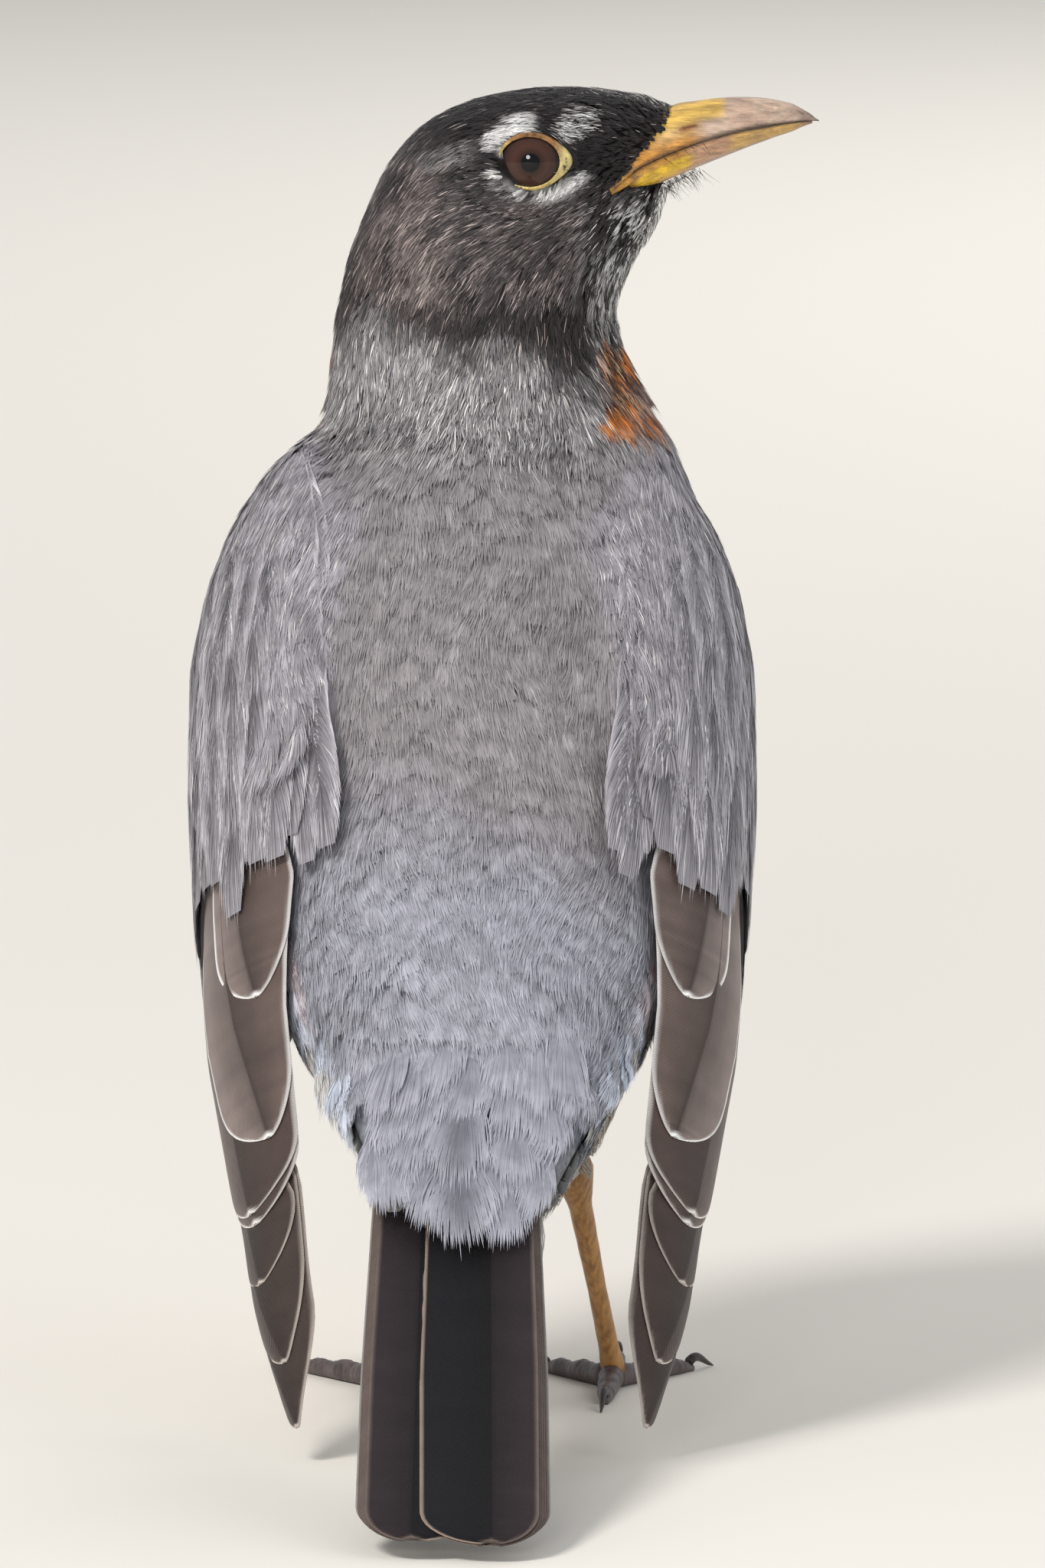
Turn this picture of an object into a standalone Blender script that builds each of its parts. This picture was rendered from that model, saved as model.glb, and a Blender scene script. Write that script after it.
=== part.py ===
"""American robin, life size, standing on both feet and looking over its right shoulder.

Millimetre sizes times MM give metres. While it is built, the bird stands on both sides
of the origin, with its breast towards -Y, its tail towards +Y and its left side towards
+X. The last step moves all of it so that the bottom centre of its
bounding box is the origin. Each solid is the outer form of the plumage.
"""

import math

import bmesh
import bpy
import numpy as np
from mathutils import Vector

MM = 0.001
GAP = 0.35 * MM  # between pieces that touch

# Body: one spine from the tail coverts, up the trunk and neck, to the crown.
RING_SIDES = 24
RINGS_PER_STATION = 2
NECK_BASE, NECK_TOP = 8, 11  # stations where trunk, neck and head part

# Head, which looks towards -X: its middle plane, the eyes and the root of the bill
HEAD_Y = -22.0 * MM
EYE = Vector((-6.9 * MM, HEAD_Y, 145.7 * MM))
BILL_ORIGIN = Vector((-6.9 * MM, HEAD_Y, 144.1 * MM))  # what the bill's rows start from
EYE_RADIUS = 4.7 * MM
EYE_SPREAD = 8.25 * MM  # from the head's middle plane to the centre of an eyeball

# Folded wing, as a surface along the line from the wrist to the longest feather tip
WRIST = Vector((29.0, -20.0, 101.0)) * MM
WING_TIP = Vector((21.0, 56.0, 3.4)) * MM
COVERT_END = 0.43  # shares of the wing's length
FLIGHT_START = 0.40
VANE_LATER = 0.007  # share by which each feather starts after the one over it
COVERT_SKIRT = 0.8 * MM  # thickness where the coverts lie over the flight feathers
FLIGHT_DEPTH = 1.4 * MM  # of the flight feathers there
VANE_THICKNESS = 0.9 * MM
VANE_STEP = 0.4 * MM

# Tail: a stack of feathers along one line
TAIL_BASE = Vector((-1.0, 44.0, 42.6)) * MM
TAIL_TIP = Vector((2.2, 130.0, 2.6)) * MM
TAIL_PAIRS = 6
TAIL_FEATHER_WIDTH = 13.5 * MM

# Legs by side, 1 for the left and -1 for the right; the left foot is set further in
KNEE = {1: Vector((12.8, -4.0, 57.0)) * MM, -1: Vector((-15.0, -4.0, 57.0)) * MM}
ANKLE = {1: Vector((8.8, 19.0, 29.0)) * MM, -1: Vector((-11.6, 19.0, 29.0)) * MM}
FOOT = {1: Vector((11.2, 0.0, 3.0)) * MM, -1: Vector((-16.6, 0.0, 3.0)) * MM}
TOE_RADIUS = 1.3 * MM
# Share of a toe's length and how much its pads swell there
TOE_ROWS = (
    (0.0, 1.0), (0.06, 1.2), (0.22, 1.02), (0.4, 1.14), (0.56, 0.9), (0.74, 1.0), (0.9, 0.72), (1.0, 0.45),
)
SOLE_TRIM = 0.16 * MM  # how much of each toe the floor flattens

FINISHES = {
    "mantle": ((0.24, 0.24, 0.25), 0.85),
    "hood": ((0.035, 0.033, 0.035), 0.8),
    "flight": ((0.14, 0.12, 0.115), 0.6),
    "tail_dark": ((0.045, 0.04, 0.042), 0.6),
    "thigh_down": ((0.42, 0.41, 0.38), 0.9),
    "horn": ((0.72, 0.42, 0.1), 0.4),
    "scute": ((0.30, 0.19, 0.10), 0.5),
    "claw": ((0.05, 0.04, 0.035), 0.4),
    "eye": ((0.045, 0.02, 0.014), 0.05),
}


# --- scene and materials ---------------------------------------------------------------


def clear_scene():
    for obj in list(bpy.data.objects):
        bpy.data.objects.remove(obj, do_unlink=True)


def new_collection(name):
    collection = bpy.data.collections.new(name)
    bpy.context.scene.collection.children.link(collection)
    return collection


def finish_of(name):
    material = bpy.data.materials.get(name)
    if material is None:
        colour, roughness = FINISHES[name]
        material = bpy.data.materials.new(name)
        material.use_nodes = True
        shader = material.node_tree.nodes["Principled BSDF"]
        shader.inputs["Base Color"].default_value = (*colour, 1.0)
        shader.inputs["Roughness"].default_value = roughness
        shader.inputs["Metallic"].default_value = 0.0
    return material


# --- modelling helpers -----------------------------------------------------------------


def smooth(values, at):
    """Catmull-Rom through evenly spaced values, read at a station number."""
    values = np.asarray(values, float)
    last = len(values) - 1
    i = min(max(int(math.floor(at)), 0), last - 1)
    f = at - i
    a, b, c, d = (values[min(max(i + k, 0), last)] for k in (-1, 0, 1, 2))
    return 0.5 * (
        2 * b + (c - a) * f + (2 * a - 5 * b + 4 * c - d) * f**2 + (3 * b - a - 3 * c + d) * f**3
    )


def along(table, share):
    """A row of a table whose first column is the share of the length."""
    table = np.asarray(table, float)
    return [np.interp(share, table[:, 0], table[:, k]) for k in range(1, table.shape[1])]


def ease(low, high, value):
    f = min(max((value - low) / (high - low), 0.0), 1.0)
    return f * f * (3 - 2 * f)


def add_mesh(name, points, faces, finish, collection):
    mesh = bpy.data.meshes.new(name)
    mesh.from_pydata([tuple(p) for p in points], [], faces)
    mesh.update()
    mesh.materials.append(finish_of(finish))
    mesh.shade_smooth()
    mesh.set_sharp_from_angle(angle=math.radians(40))
    obj = bpy.data.objects.new(name, mesh)
    collection.objects.link(obj)
    return obj


def loft(name, rings, finish, collection):
    """A closed skin over rings of equal length. A ring of one point closes in a fan."""
    points, starts = [], []
    for ring in rings:
        starts.append(len(points))
        points.extend(ring)
    faces = []
    for k in range(len(rings) - 1):
        a, b = starts[k], starts[k + 1]
        n, m = len(rings[k]), len(rings[k + 1])
        for i in range(max(n, m)):
            j = (i + 1) % max(n, m)
            if n == 1:
                faces.append((a, b + i, b + j))
            elif m == 1:
                faces.append((a + j, a + i, b))
            else:
                faces.append((a + j, a + i, b + i, b + j))
    if len(rings[0]) > 1:
        faces.append(tuple(range(len(rings[0]))))
    if len(rings[-1]) > 1:
        faces.append(tuple(starts[-1] + i for i in reversed(range(len(rings[-1])))))
    obj = add_mesh(name, points, faces, finish, collection)
    turn_outwards(obj)
    return obj


def turn_outwards(obj):
    """Flips the faces where the solid they close has a negative volume."""
    mesh = obj.data
    mesh.calc_loop_triangles()
    points = np.array([v.co for v in mesh.vertices])
    corners = points[np.array([t.vertices for t in mesh.loop_triangles])]
    if np.linalg.det(corners - points.mean(axis=0)).sum() < 0:
        mesh.flip_normals()


def hidden(obj):
    """Marks a solid as a cutter."""
    obj.hide_render = True
    obj.display_type = "WIRE"
    return obj


def inflated(obj, by, collection):
    """A hidden copy of a solid, grown along its normals, for cutting its neighbours."""
    copy = bpy.data.objects.new(obj.name + "_room", obj.data.copy())
    for vertex, normal in zip(copy.data.vertices, [v.normal.copy() for v in obj.data.vertices]):
        vertex.co += normal * by
    collection.objects.link(copy)
    return hidden(copy)


def combine(obj, other, operation):
    """Applies one Boolean with the exact solver."""
    modifier = obj.modifiers.new(operation.lower(), "BOOLEAN")
    modifier.operation = operation
    modifier.solver = "EXACT"
    modifier.object = other
    graph = bpy.context.evaluated_depsgraph_get()
    mesh = bpy.data.meshes.new_from_object(obj.evaluated_get(graph))
    obj.modifiers.remove(modifier)
    obj.data = mesh
    return obj


def union(obj, others):
    for other in others:
        combine(obj, other, "UNION")
        bpy.data.objects.remove(other)
    return obj


def cut(obj, *cutters):
    for cutter in cutters:
        combine(obj, cutter, "DIFFERENCE")
    return obj


def keep_largest(obj):
    """Drops the slivers that a cut has split off."""
    shape = bmesh.new()
    shape.from_mesh(obj.data)
    shape.verts.ensure_lookup_table()
    left, islands = set(shape.verts), []
    while left:
        island, edge = set(), [left.pop()]
        while edge:
            vertex = edge.pop()
            island.add(vertex)
            for link in vertex.link_edges:
                other = link.other_vert(vertex)
                if other in left:
                    left.remove(other)
                    edge.append(other)
        islands.append(island)
    islands.sort(key=lambda island: (-len(island), min(v.index for v in island)))
    for island in islands[1:]:
        bmesh.ops.delete(shape, geom=list(island), context="VERTS")
    shape.to_mesh(obj.data)
    shape.free()
    return obj


def sphere(name, centre, radius, finish, collection, segments=16, rings=10):
    bpy.ops.mesh.primitive_uv_sphere_add(
        segments=segments, ring_count=rings, radius=radius, location=centre
    )
    obj = bpy.context.object
    obj.name = name
    obj.data.materials.append(finish_of(finish))
    obj.data.shade_smooth()
    for owner in list(obj.users_collection):
        owner.objects.unlink(obj)
    collection.objects.link(obj)
    bpy.context.view_layer.update()
    obj.data.transform(obj.matrix_world)
    obj.location = (0, 0, 0)
    return obj


# --- trunk, neck and head --------------------------------------------------------------

# Each station of the spine: centre x, y, z; lean of the section from level, in degrees;
# half width across x; half depth across the lean; how far the section narrows towards
# the bill, as a share; all lengths in mm.
SPINE = (
    (0.8, 76.0, 27.6, 65.0, 9.6, 2.3, 0.0),  # tips of the tail coverts
    (0.5, 63.0, 33.8, 64.0, 11.8, 4.9, 0.0),
    (-0.3, 48.0, 41.5, 60.0, 16.4, 8.8, 0.0),  # root of the tail
    (0.0, 33.0, 49.0, 51.0, 22.0, 15.4, 0.0),  # rump and vent
    (0.0, 17.0, 56.0, 43.0, 25.6, 21.6, 0.0),  # hips
    (0.0, 1.5, 68.0, 37.0, 28.4, 26.2, 0.0),
    (0.0, -12.0, 83.5, 32.0, 29.4, 27.2, 0.0),  # deepest part of the breast
    (-0.6, -20.0, 98.5, 23.0, 27.4, 24.4, 0.0),  # shoulders
    (-2.6, -23.0, 110.5, 12.0, 21.6, 19.4, 0.0),  # base of the neck
    (-1.2, -23.0, 119.0, 4.0, 18.3, 16.4, 0.0),
    (-0.3, -22.3, 125.4, 0.0, 16.7, 14.8, 0.02),
    (-1.4, -22.0, 130.2, 0.0, 16.8, 13.8, 0.08),  # top of the neck
    (-2.8, -22.0, 134.2, 0.0, 17.2, 13.1, 0.15),
    (-4.5, -22.0, 138.0, 0.0, 17.4, 12.7, 0.20),
    (-5.8, -22.0, 141.8, 0.0, 17.1, 12.4, 0.24),
    (-7.1, -22.0, 145.2, 0.0, 16.4, 12.0, 0.26),  # eyes
    (-8.7, -22.0, 148.2, 0.0, 15.3, 10.8, 0.26),
    (-10.0, -22.0, 150.4, 0.0, 13.3, 9.0, 0.22),
    (-10.9, -22.0, 152.0, 0.0, 9.8, 6.6, 0.15),
    (-11.3, -22.0, 153.0, 0.0, 5.0, 3.4, 0.05),
)
CROWN = Vector((-11.4, -22.0, 153.35)) * MM


def body_ring(at):
    x, y, z, lean, width, depth, narrow = (smooth(column, at) for column in zip(*SPINE))
    tilt = math.radians(lean)
    centre = Vector((x, y, z)) * MM
    across = Vector((-1.0, 0.0, 0.0))
    back = Vector((0.0, math.cos(tilt), math.sin(tilt)))
    ring = []
    for i in range(RING_SIDES):
        angle = 2 * math.pi * i / RING_SIDES
        side = math.sin(angle) * (1 - narrow * math.cos(angle))
        ring.append(centre + (across * width * math.cos(angle) + back * depth * side) * MM)
    return ring


def body_part(name, start, end, finish, collection, crown=False):
    """One length of the body, parted from the next by a thin gap."""
    steps = round((end - start) * RINGS_PER_STATION)
    trim = 0.5 * GAP / (4.5 * MM)  # half the gap, as a share of a station
    low = start + (trim if start > 0 else 0)
    high = end - (0 if crown else trim)
    rings = [body_ring(low + (high - low) * k / steps) for k in range(steps + 1)]
    if crown:
        rings.append([CROWN])
    return loft(name, rings, finish, collection)


# --- bill and eyes ---------------------------------------------------------------------

# Along the bill, in mm ahead of its origin: top of the upper half, mouth line and bottom
# of the lower half above it, and the half width at the mouth line.
BILL = (
    (8.6, 0.2, -2.7, -4.6, 7.0),
    (12.6, 3.6, 0.0, -3.4, 6.2),
    (16.4, 6.7, 1.7, -1.7, 4.9),
    (20.0, 7.5, 3.0, -0.2, 4.0),
    (24.0, 7.9, 4.1, 1.4, 3.2),
    (28.0, 7.8, 4.8, 2.9, 2.4),
    (31.2, 7.2, 5.2, 4.0, 1.5),
    (33.4, 6.1, 5.3, 4.9, 0.7),
)
BILL_TIP = (34.4, 5.2)
BILL_ARCH_POINTS = 8


def bill_arch(ahead, level, height, half):
    """A half ring over the mouth line, or under it where the height is negative."""
    arch = []
    for k in range(BILL_ARCH_POINTS + 1):
        angle = math.pi * k / BILL_ARCH_POINTS
        y = half * math.copysign(abs(math.cos(angle)) ** 0.8, math.cos(angle))
        z = level + height * math.sin(angle) ** 0.9
        arch.append(BILL_ORIGIN + Vector((-ahead, y, z)) * MM)
    return arch


def bill_half(name, upper, collection):
    """The upper or the lower half, narrowing to the tip, half a gap from the other."""
    side = 1 if upper else -1
    rings = []
    for ahead, top, mouth, bottom, half in BILL:
        level = mouth + side * 0.5 * GAP / MM
        rings.append(bill_arch(ahead, level, (top if upper else bottom) - level, half))
    tip_x, tip_z = BILL_TIP
    if not upper:
        tip_x -= 0.8
    rings.append([BILL_ORIGIN + Vector((-tip_x, 0.0, tip_z + side * 0.22)) * MM])
    return loft(name, rings, "horn", collection)


def bill_room(collection):
    """The space that both halves take up in the head, with a gap around them."""
    gap = GAP / MM
    rings = []
    for ahead, top, mouth, bottom, half in BILL:
        over = bill_arch(ahead, mouth, top - mouth + gap, half + gap)
        under = bill_arch(ahead, mouth, bottom - mouth - gap, half + gap)
        rings.append(over + list(reversed(under[1:-1])))
    rings[0] = [point + Vector((gap * MM, 0.0, 0.0)) for point in rings[0]]
    return hidden(loft("bill_room", rings, "horn", collection))


def eye(name, side, collection):
    centre = EYE + Vector((0.0, side * EYE_SPREAD, 0.0))
    return sphere(name, centre, EYE_RADIUS, "eye", collection)


# --- wings -----------------------------------------------------------------------------

# Along the wing from wrist to tip, as a share: how far out from the middle of the bird
# the surface bulges, its edge on the back, its edge below, and the widths from the line
# to those two edges; mm.
WING = (
    (-0.10, 16.0, 15.4, 15.4, 3.0, 3.0),
    (-0.08, 20.4, 18.6, 19.0, 6.0, 5.0),
    (-0.06, 23.2, 20.2, 21.2, 8.5, 6.5),
    (-0.03, 26.3, 20.4, 23.0, 11.5, 9.0),
    (0.02, 29.6, 19.4, 24.4, 14.5, 11.5),
    (0.08, 31.8, 18.2, 25.2, 17.5, 13.0),
    (0.17, 33.6, 17.6, 26.0, 20.0, 15.0),
    (0.30, 33.9, 18.0, 27.5, 21.0, 17.0),
    (0.46, 33.2, 20.4, 28.5, 18.5, 16.5),
    (0.60, 31.8, 20.8, 28.2, 16.0, 13.5),
    (0.77, 28.4, 19.0, 25.8, 13.0, 9.5),
    (0.90, 24.9, 16.8, 23.0, 9.0, 5.0),
    (1.00, 21.6, 16.8, 20.6, 5.0, 1.6),
    (1.06, 19.6, 16.6, 19.2, 2.6, 1.0),
)


def wing_point(share, rise, depth):
    """A point of the left wing, rise metres up the surface towards the back."""
    out, back_x, low_x, back_width, low_width = along(WING, share)
    width, edge = (back_width, back_x) if rise > 0 else (low_width, low_x)
    u = abs(rise) / (width * MM)
    x = (out - (out - edge) * u**2) * MM
    line = WING_TIP - WRIST
    line.x = 0.0
    towards_back = Vector((0.0, -line.z, line.y)).normalized()
    slope = 2 * (out - edge) * u / width * (1 if rise > 0 else -1)
    outwards = (Vector((1.0, 0.0, 0.0)) + towards_back * slope).normalized()
    base = Vector((0.0, WRIST.y, WRIST.z)) + line * share
    return base + towards_back * rise + Vector((x, 0.0, 0.0)) - outwards * depth


def plate(name, outline, levels, finish, collection, across=4):
    """A closed plate on the wing: outline rows give share, rise and half width, and
    levels(share, u) the depths of its upper and lower face, u from -1 to 1 across it."""
    rings = []
    for share, rise, half in outline:
        spread = [2 * k / across - 1 for k in range(across + 1)]
        ring = [wing_point(share, rise + half * u, levels(share, u)[0]) for u in spread]
        ring += [wing_point(share, rise + half * u, levels(share, u)[1]) for u in reversed(spread)]
        rings.append(ring)
    return loft(name, rings, finish, collection)


def feather_outline(start, end, half, steps=7):
    """From (share, rise) to (share, rise), with a rounded tip."""
    rows = []
    for k in range(steps + 1):
        s = math.sin(0.5 * math.pi * k / steps) if k < steps else 0.998
        body = min(1.0, 0.75 + 1.5 * s)
        tip = math.sqrt(max(0.0, 1 - max(0.0, (s - 0.8) / 0.2) ** 2))
        share = start[0] + (end[0] - start[0]) * s
        rise = start[1] + (end[1] - start[1]) * s
        rows.append((share, rise * MM, max(half * body * tip, 0.5) * MM))
    return rows


def flight_depth(share):
    """Depth of the flight feathers under the wing's surface, below the coverts."""
    return FLIGHT_DEPTH * (1 - ease(COVERT_END - 0.02, COVERT_END + 0.14, share))


def vane(name, start, end, half, level, collection):
    def levels(share, _):
        return level(share), level(share) + VANE_THICKNESS

    return plate(name, feather_outline(start, end, half), levels, "flight", collection)


# Tips of the folded feathers as share of the wing and mm up the surface, with half widths
SECONDARY_TIPS = ((0.57, 12.0, 6.2), (0.70, 8.4, 6.2), (0.785, 5.6, 5.6))
PRIMARY_TIPS = ((0.85, 7.0, 5.0), (0.925, 5.6, 4.4), (0.995, 3.2, 3.4))


def secondaries(name, collection):
    vanes = []
    for k, (share, rise, half) in enumerate(SECONDARY_TIPS):
        def level(at, under=k * VANE_STEP):
            return flight_depth(at) + under
        start = (FLIGHT_START + VANE_LATER * k, 11.5 - 4.0 * k)
        vanes.append(vane(f"{name}_{k}", start, (share, rise), half, level, collection))
    vanes[0].name = name
    return union(vanes[0], vanes[1:])


def primaries(name, collection):
    stack = VANE_THICKNESS + VANE_STEP * (len(SECONDARY_TIPS) - 1) + GAP
    vanes = []
    for k, (share, rise, half) in enumerate(PRIMARY_TIPS):
        def level(at, under=k * VANE_STEP):
            return flight_depth(at) + stack * (1 - ease(0.80, 0.90, at)) + under
        start = (FLIGHT_START + VANE_LATER * k, -2.5 - 4.5 * k)
        vanes.append(vane(f"{name}_{k}", start, (share, rise), half, level, collection))
    vanes[0].name = name
    return union(vanes[0], vanes[1:])


def coverts(name, collection):
    """The shoulder of the wing, with a thin skirt of coverts over the flight feathers."""
    outline = []
    for share in (-0.08, -0.06, -0.03, 0.02, 0.08, 0.17, 0.26, 0.34, 0.36, 0.385, 0.41, 0.44, 0.465):
        _, _, _, back_width, low_width = along(WING, share)
        close = math.sqrt(1 - max(0.0, (share - 0.34) / 0.14) ** 2)
        rise = 0.5 * (back_width - low_width) * MM
        half = 0.5 * (back_width + low_width) * 0.98 * close * MM
        outline.append((share, rise + 2.0 * MM * (1 - close), half))

    def levels(share, u):
        skirt = ease(0.34, 0.36, share)
        inner = COVERT_SKIRT + 6.0 * MM * ease(-0.12, 0.1, share) * (1 - u**4)
        return 0.0, inner * (1 - skirt) + COVERT_SKIRT * skirt

    return plate(name, outline, levels, "mantle", collection, across=8)


def mirrored(obj, name, collection):
    """The other side's copy, across the bird's middle plane, with its own mesh."""
    copy = bpy.data.objects.new(name, obj.data.copy())
    for vertex in copy.data.vertices:
        vertex.co.x = -vertex.co.x
    copy.data.flip_normals()
    collection.objects.link(copy)
    return copy


# --- tail ------------------------------------------------------------------------------


def tail_feather(name, shift, down, shorter, later, room, collection):
    """One tail feather, a flat blade with a blunt round tip."""
    line = TAIL_TIP - TAIL_BASE
    length = line.length - shorter - later
    ahead = line.normalized()
    root = TAIL_BASE + ahead * (later - room)
    across = Vector((ahead.y, -ahead.x, 0.0)).normalized()
    up = across.cross(ahead).normalized()
    rings = []
    steps = 7
    for k in range(steps + 1):
        s = math.sin(0.5 * math.pi * k / steps) if k < steps else 0.9985
        half = 0.5 * TAIL_FEATHER_WIDTH * (0.62 + 0.38 * min(1.0, 1.6 * s))
        half *= math.sqrt(1 - max(0.0, (s - 0.9) / 0.1) ** 2)
        half = max(half, 0.6 * MM) + room
        middle = root + ahead * length * s + across * shift * (0.6 + 0.4 * s)
        over = middle - up * (down - room)
        under = middle - up * (down + VANE_THICKNESS + room)
        rings.append([over - across * half, over + across * half])
        rings[-1] += [under + across * half, under - across * half]
    return loft(name, rings, "tail_dark", collection)


def tail(name, room, collection):
    """Twelve feathers stacked under the middle pair, each pair a little further out."""
    vanes = []
    for pair in range(TAIL_PAIRS):
        for side in (-1, 1):
            shift = side * (2.6 + 0.42 * pair) * MM
            down = (0.33 * pair + (0.18 if side > 0 else 0.0)) * MM
            shorter = (0.4 * pair**1.4 + (1.2 if side > 0 else 0.0)) * MM
            later = (0.9 * pair + (0.45 if side > 0 else 0.0)) * MM
            blade = f"{name}_{pair}{side}"
            vanes.append(tail_feather(blade, shift, down, shorter, later, room, collection))
    vanes[0].name = name
    return union(vanes[0], vanes[1:])


# --- legs and feet ---------------------------------------------------------------------


def tube(name, points, radii, finish, collection, sides=10, flatten=1.0):
    """A tapering limb through points, with flat ends."""
    rings = []
    for k, (point, radius) in enumerate(zip(points, radii)):
        before, after = points[max(k - 1, 0)], points[min(k + 1, len(points) - 1)]
        ahead = (after - before).normalized()
        side = ahead.cross(Vector((0, 0, 1)))
        side = side.normalized() if side.length > 0.05 else Vector((1, 0, 0))
        up = side.cross(ahead)
        ring = []
        for i in range(sides):
            angle = 2 * math.pi * (i + 0.5) / sides
            ring.append(point + side * radius * math.cos(angle) + up * radius * flatten * math.sin(angle))
        rings.append(ring)
    return loft(name, rings, finish, collection)


def thigh(name, side, collection):
    """The feathered leg from the knee, inside the flank, to the ankle."""
    rows = ((0.0, 8.6), (0.35, 7.8), (0.6, 6.0), (0.8, 4.0), (0.93, 2.7), (1.0, 1.9))
    end = ANKLE[side] + Vector((0.0, 0.6, -0.8)) * MM
    points = [KNEE[side].lerp(end, s) for s, _ in rows]
    return tube(name, points, [r * MM for _, r in rows], "thigh_down", collection, sides=14)


def shank(name, side, collection):
    """The bare leg, with the ankle joint at its top."""
    start = ANKLE[side] + Vector((0.0, -1.2, 1.6)) * MM
    rows = ((0.0, 1.5), (0.05, 2.0), (0.12, 1.7), (0.22, 1.2), (0.6, 1.05), (0.88, 1.15), (1.0, 1.5))
    points = [start.lerp(FOOT[side], s) for s, _ in rows]
    return tube(name, points, [r * MM for _, r in rows], "scute", collection, flatten=1.25)


# Toes: heading from straight ahead, outwards in degrees; length; claw length; mm
TOES = {
    "middle": (2.0, 19.5, 5.4),
    "inner": (-32.0, 13.5, 4.8),
    "outer": (36.0, 14.5, 4.8),
    "hind": (184.0, 11.5, 7.0),
}


def toe_line(side, toe):
    """Where a toe starts beside the foot joint, and the way it points on the floor."""
    heading = math.radians(TOES[toe][0])
    way = Vector((side * math.sin(heading), -math.cos(heading), 0.0))
    start = Vector((FOOT[side].x, FOOT[side].y, 0.0)) + way * 1.9 * MM
    return start, way


def toe_solid(name, side, toe, floor, collection):
    start, way = toe_line(side, toe)
    length = TOES[toe][1] * MM
    points, radii = [], []
    for s, swell in TOE_ROWS:
        radius = TOE_RADIUS * swell * (1 - 0.22 * s)
        points.append(start + way * length * s + Vector((0, 0, radius - SOLE_TRIM)))
        radii.append(radius)
    obj = tube(name, points, radii, "scute", collection, sides=8)
    return cut(obj, floor)


def claw_solid(name, side, toe, collection):
    """A hooked claw, starting just past the toe and ending on the floor."""
    start, way = toe_line(side, toe)
    length = TOES[toe][2] * MM
    root = start + way * (TOES[toe][1] * MM + GAP)
    points, radii = [], []
    for k in range(6):
        s = k / 5
        drop = 0.75 * MM + 0.28 * length * math.sin(math.pi * min(1.0, 0.9 * s + 0.08)) * (1 - s)
        points.append(root + way * length * s * 0.92 + Vector((0, 0, drop * (1 - 0.35 * s**2))))
        radii.append((0.55 * (1 - s) ** 0.8 + 0.26) * MM)
    points[-1].z = radii[-1] + 0.02 * MM
    return tube(name, points, radii, "claw", collection, sides=6)


def floor_cutter(collection):
    bpy.ops.mesh.primitive_cube_add(size=1.0, location=(0, 0, -0.05))
    block = bpy.context.object
    block.name = "floor_cutter"
    block.scale = (0.5, 0.5, 0.1)
    bpy.context.view_layer.update()
    block.data.transform(block.matrix_world)
    block.matrix_world.identity()
    for owner in list(block.users_collection):
        owner.objects.unlink(block)
    collection.objects.link(block)
    return hidden(block)


# --- the whole bird --------------------------------------------------------------------


def build():
    clear_scene()
    bird = new_collection("american_robin")
    tools = new_collection("cutters")
    floor = floor_cutter(tools)

    trunk = body_part("trunk", 0, NECK_BASE, "mantle", bird)
    neck = body_part("neck", NECK_BASE, NECK_TOP, "mantle", bird)
    head = body_part("head", NECK_TOP, len(SPINE) - 1, "hood", bird, crown=True)
    trunk_room = inflated(trunk, GAP, tools)
    neck_room = inflated(neck, GAP, tools)

    tail("tail", 0.0, bird)
    cut(trunk, hidden(tail("tail_room", GAP, tools)))

    bill_half("bill_upper", True, bird)
    bill_half("bill_lower", False, bird)
    cut(head, bill_room(tools))
    for side_name, side in (("right", 1), ("left", -1)):
        piece = eye(f"eye_{side_name}", side, bird)
        cut(head, inflated(piece, GAP, tools))

    wing_rooms = []
    for make, part in ((coverts, "coverts"), (secondaries, "secondaries"), (primaries, "primaries")):
        left = make(f"wing_left_{part}", bird)
        right = mirrored(left, f"wing_right_{part}", bird)
        for wing in (left, right):
            keep_largest(cut(wing, trunk_room, neck_room))
            wing_rooms.append(inflated(wing, GAP, tools))

    for side_name, side in (("left", 1), ("right", -1)):
        leg = shank(f"shank_{side_name}", side, bird)
        down = thigh(f"thigh_{side_name}", side, bird)
        cut(down, trunk_room, inflated(leg, GAP, tools), *wing_rooms)
        rooms = []
        for toe in TOES:
            solid = toe_solid(f"toe_{side_name}_{toe}", side, toe, floor, bird)
            cut(solid, *rooms)
            rooms.append(inflated(solid, GAP, tools))
            claw_solid(f"claw_{side_name}_{toe}", side, toe, bird)
        cut(leg, *rooms)
    settle(bird)


def settle(collection):
    """Moves the bird so that the bottom centre of its bounding box is the origin."""
    points = np.array([v.co for obj in collection.objects for v in obj.data.vertices])
    low, high = points.min(axis=0), points.max(axis=0)
    shift = Vector((-(low[0] + high[0]) / 2, -(low[1] + high[1]) / 2, -low[2]))
    for obj in collection.objects:
        for vertex in obj.data.vertices:
            vertex.co += shift
    print("moved by", [round(x / MM, 3) for x in shift], "mm")


build()
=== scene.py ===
"""Looks of the American robin: one skin, feathers over it, bill, eyes, legs and claws.

Lengths are in millimetres in the bird's own frame, where the middle of the feet is the
origin, the tail points towards +Y, the bird's left is +X and the bill points towards -X.
placed() turns them into metres in the part's frame.
"""

import math

import bpy
import numpy as np
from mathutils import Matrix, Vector
from mathutils.bvhtree import BVHTree


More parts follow.
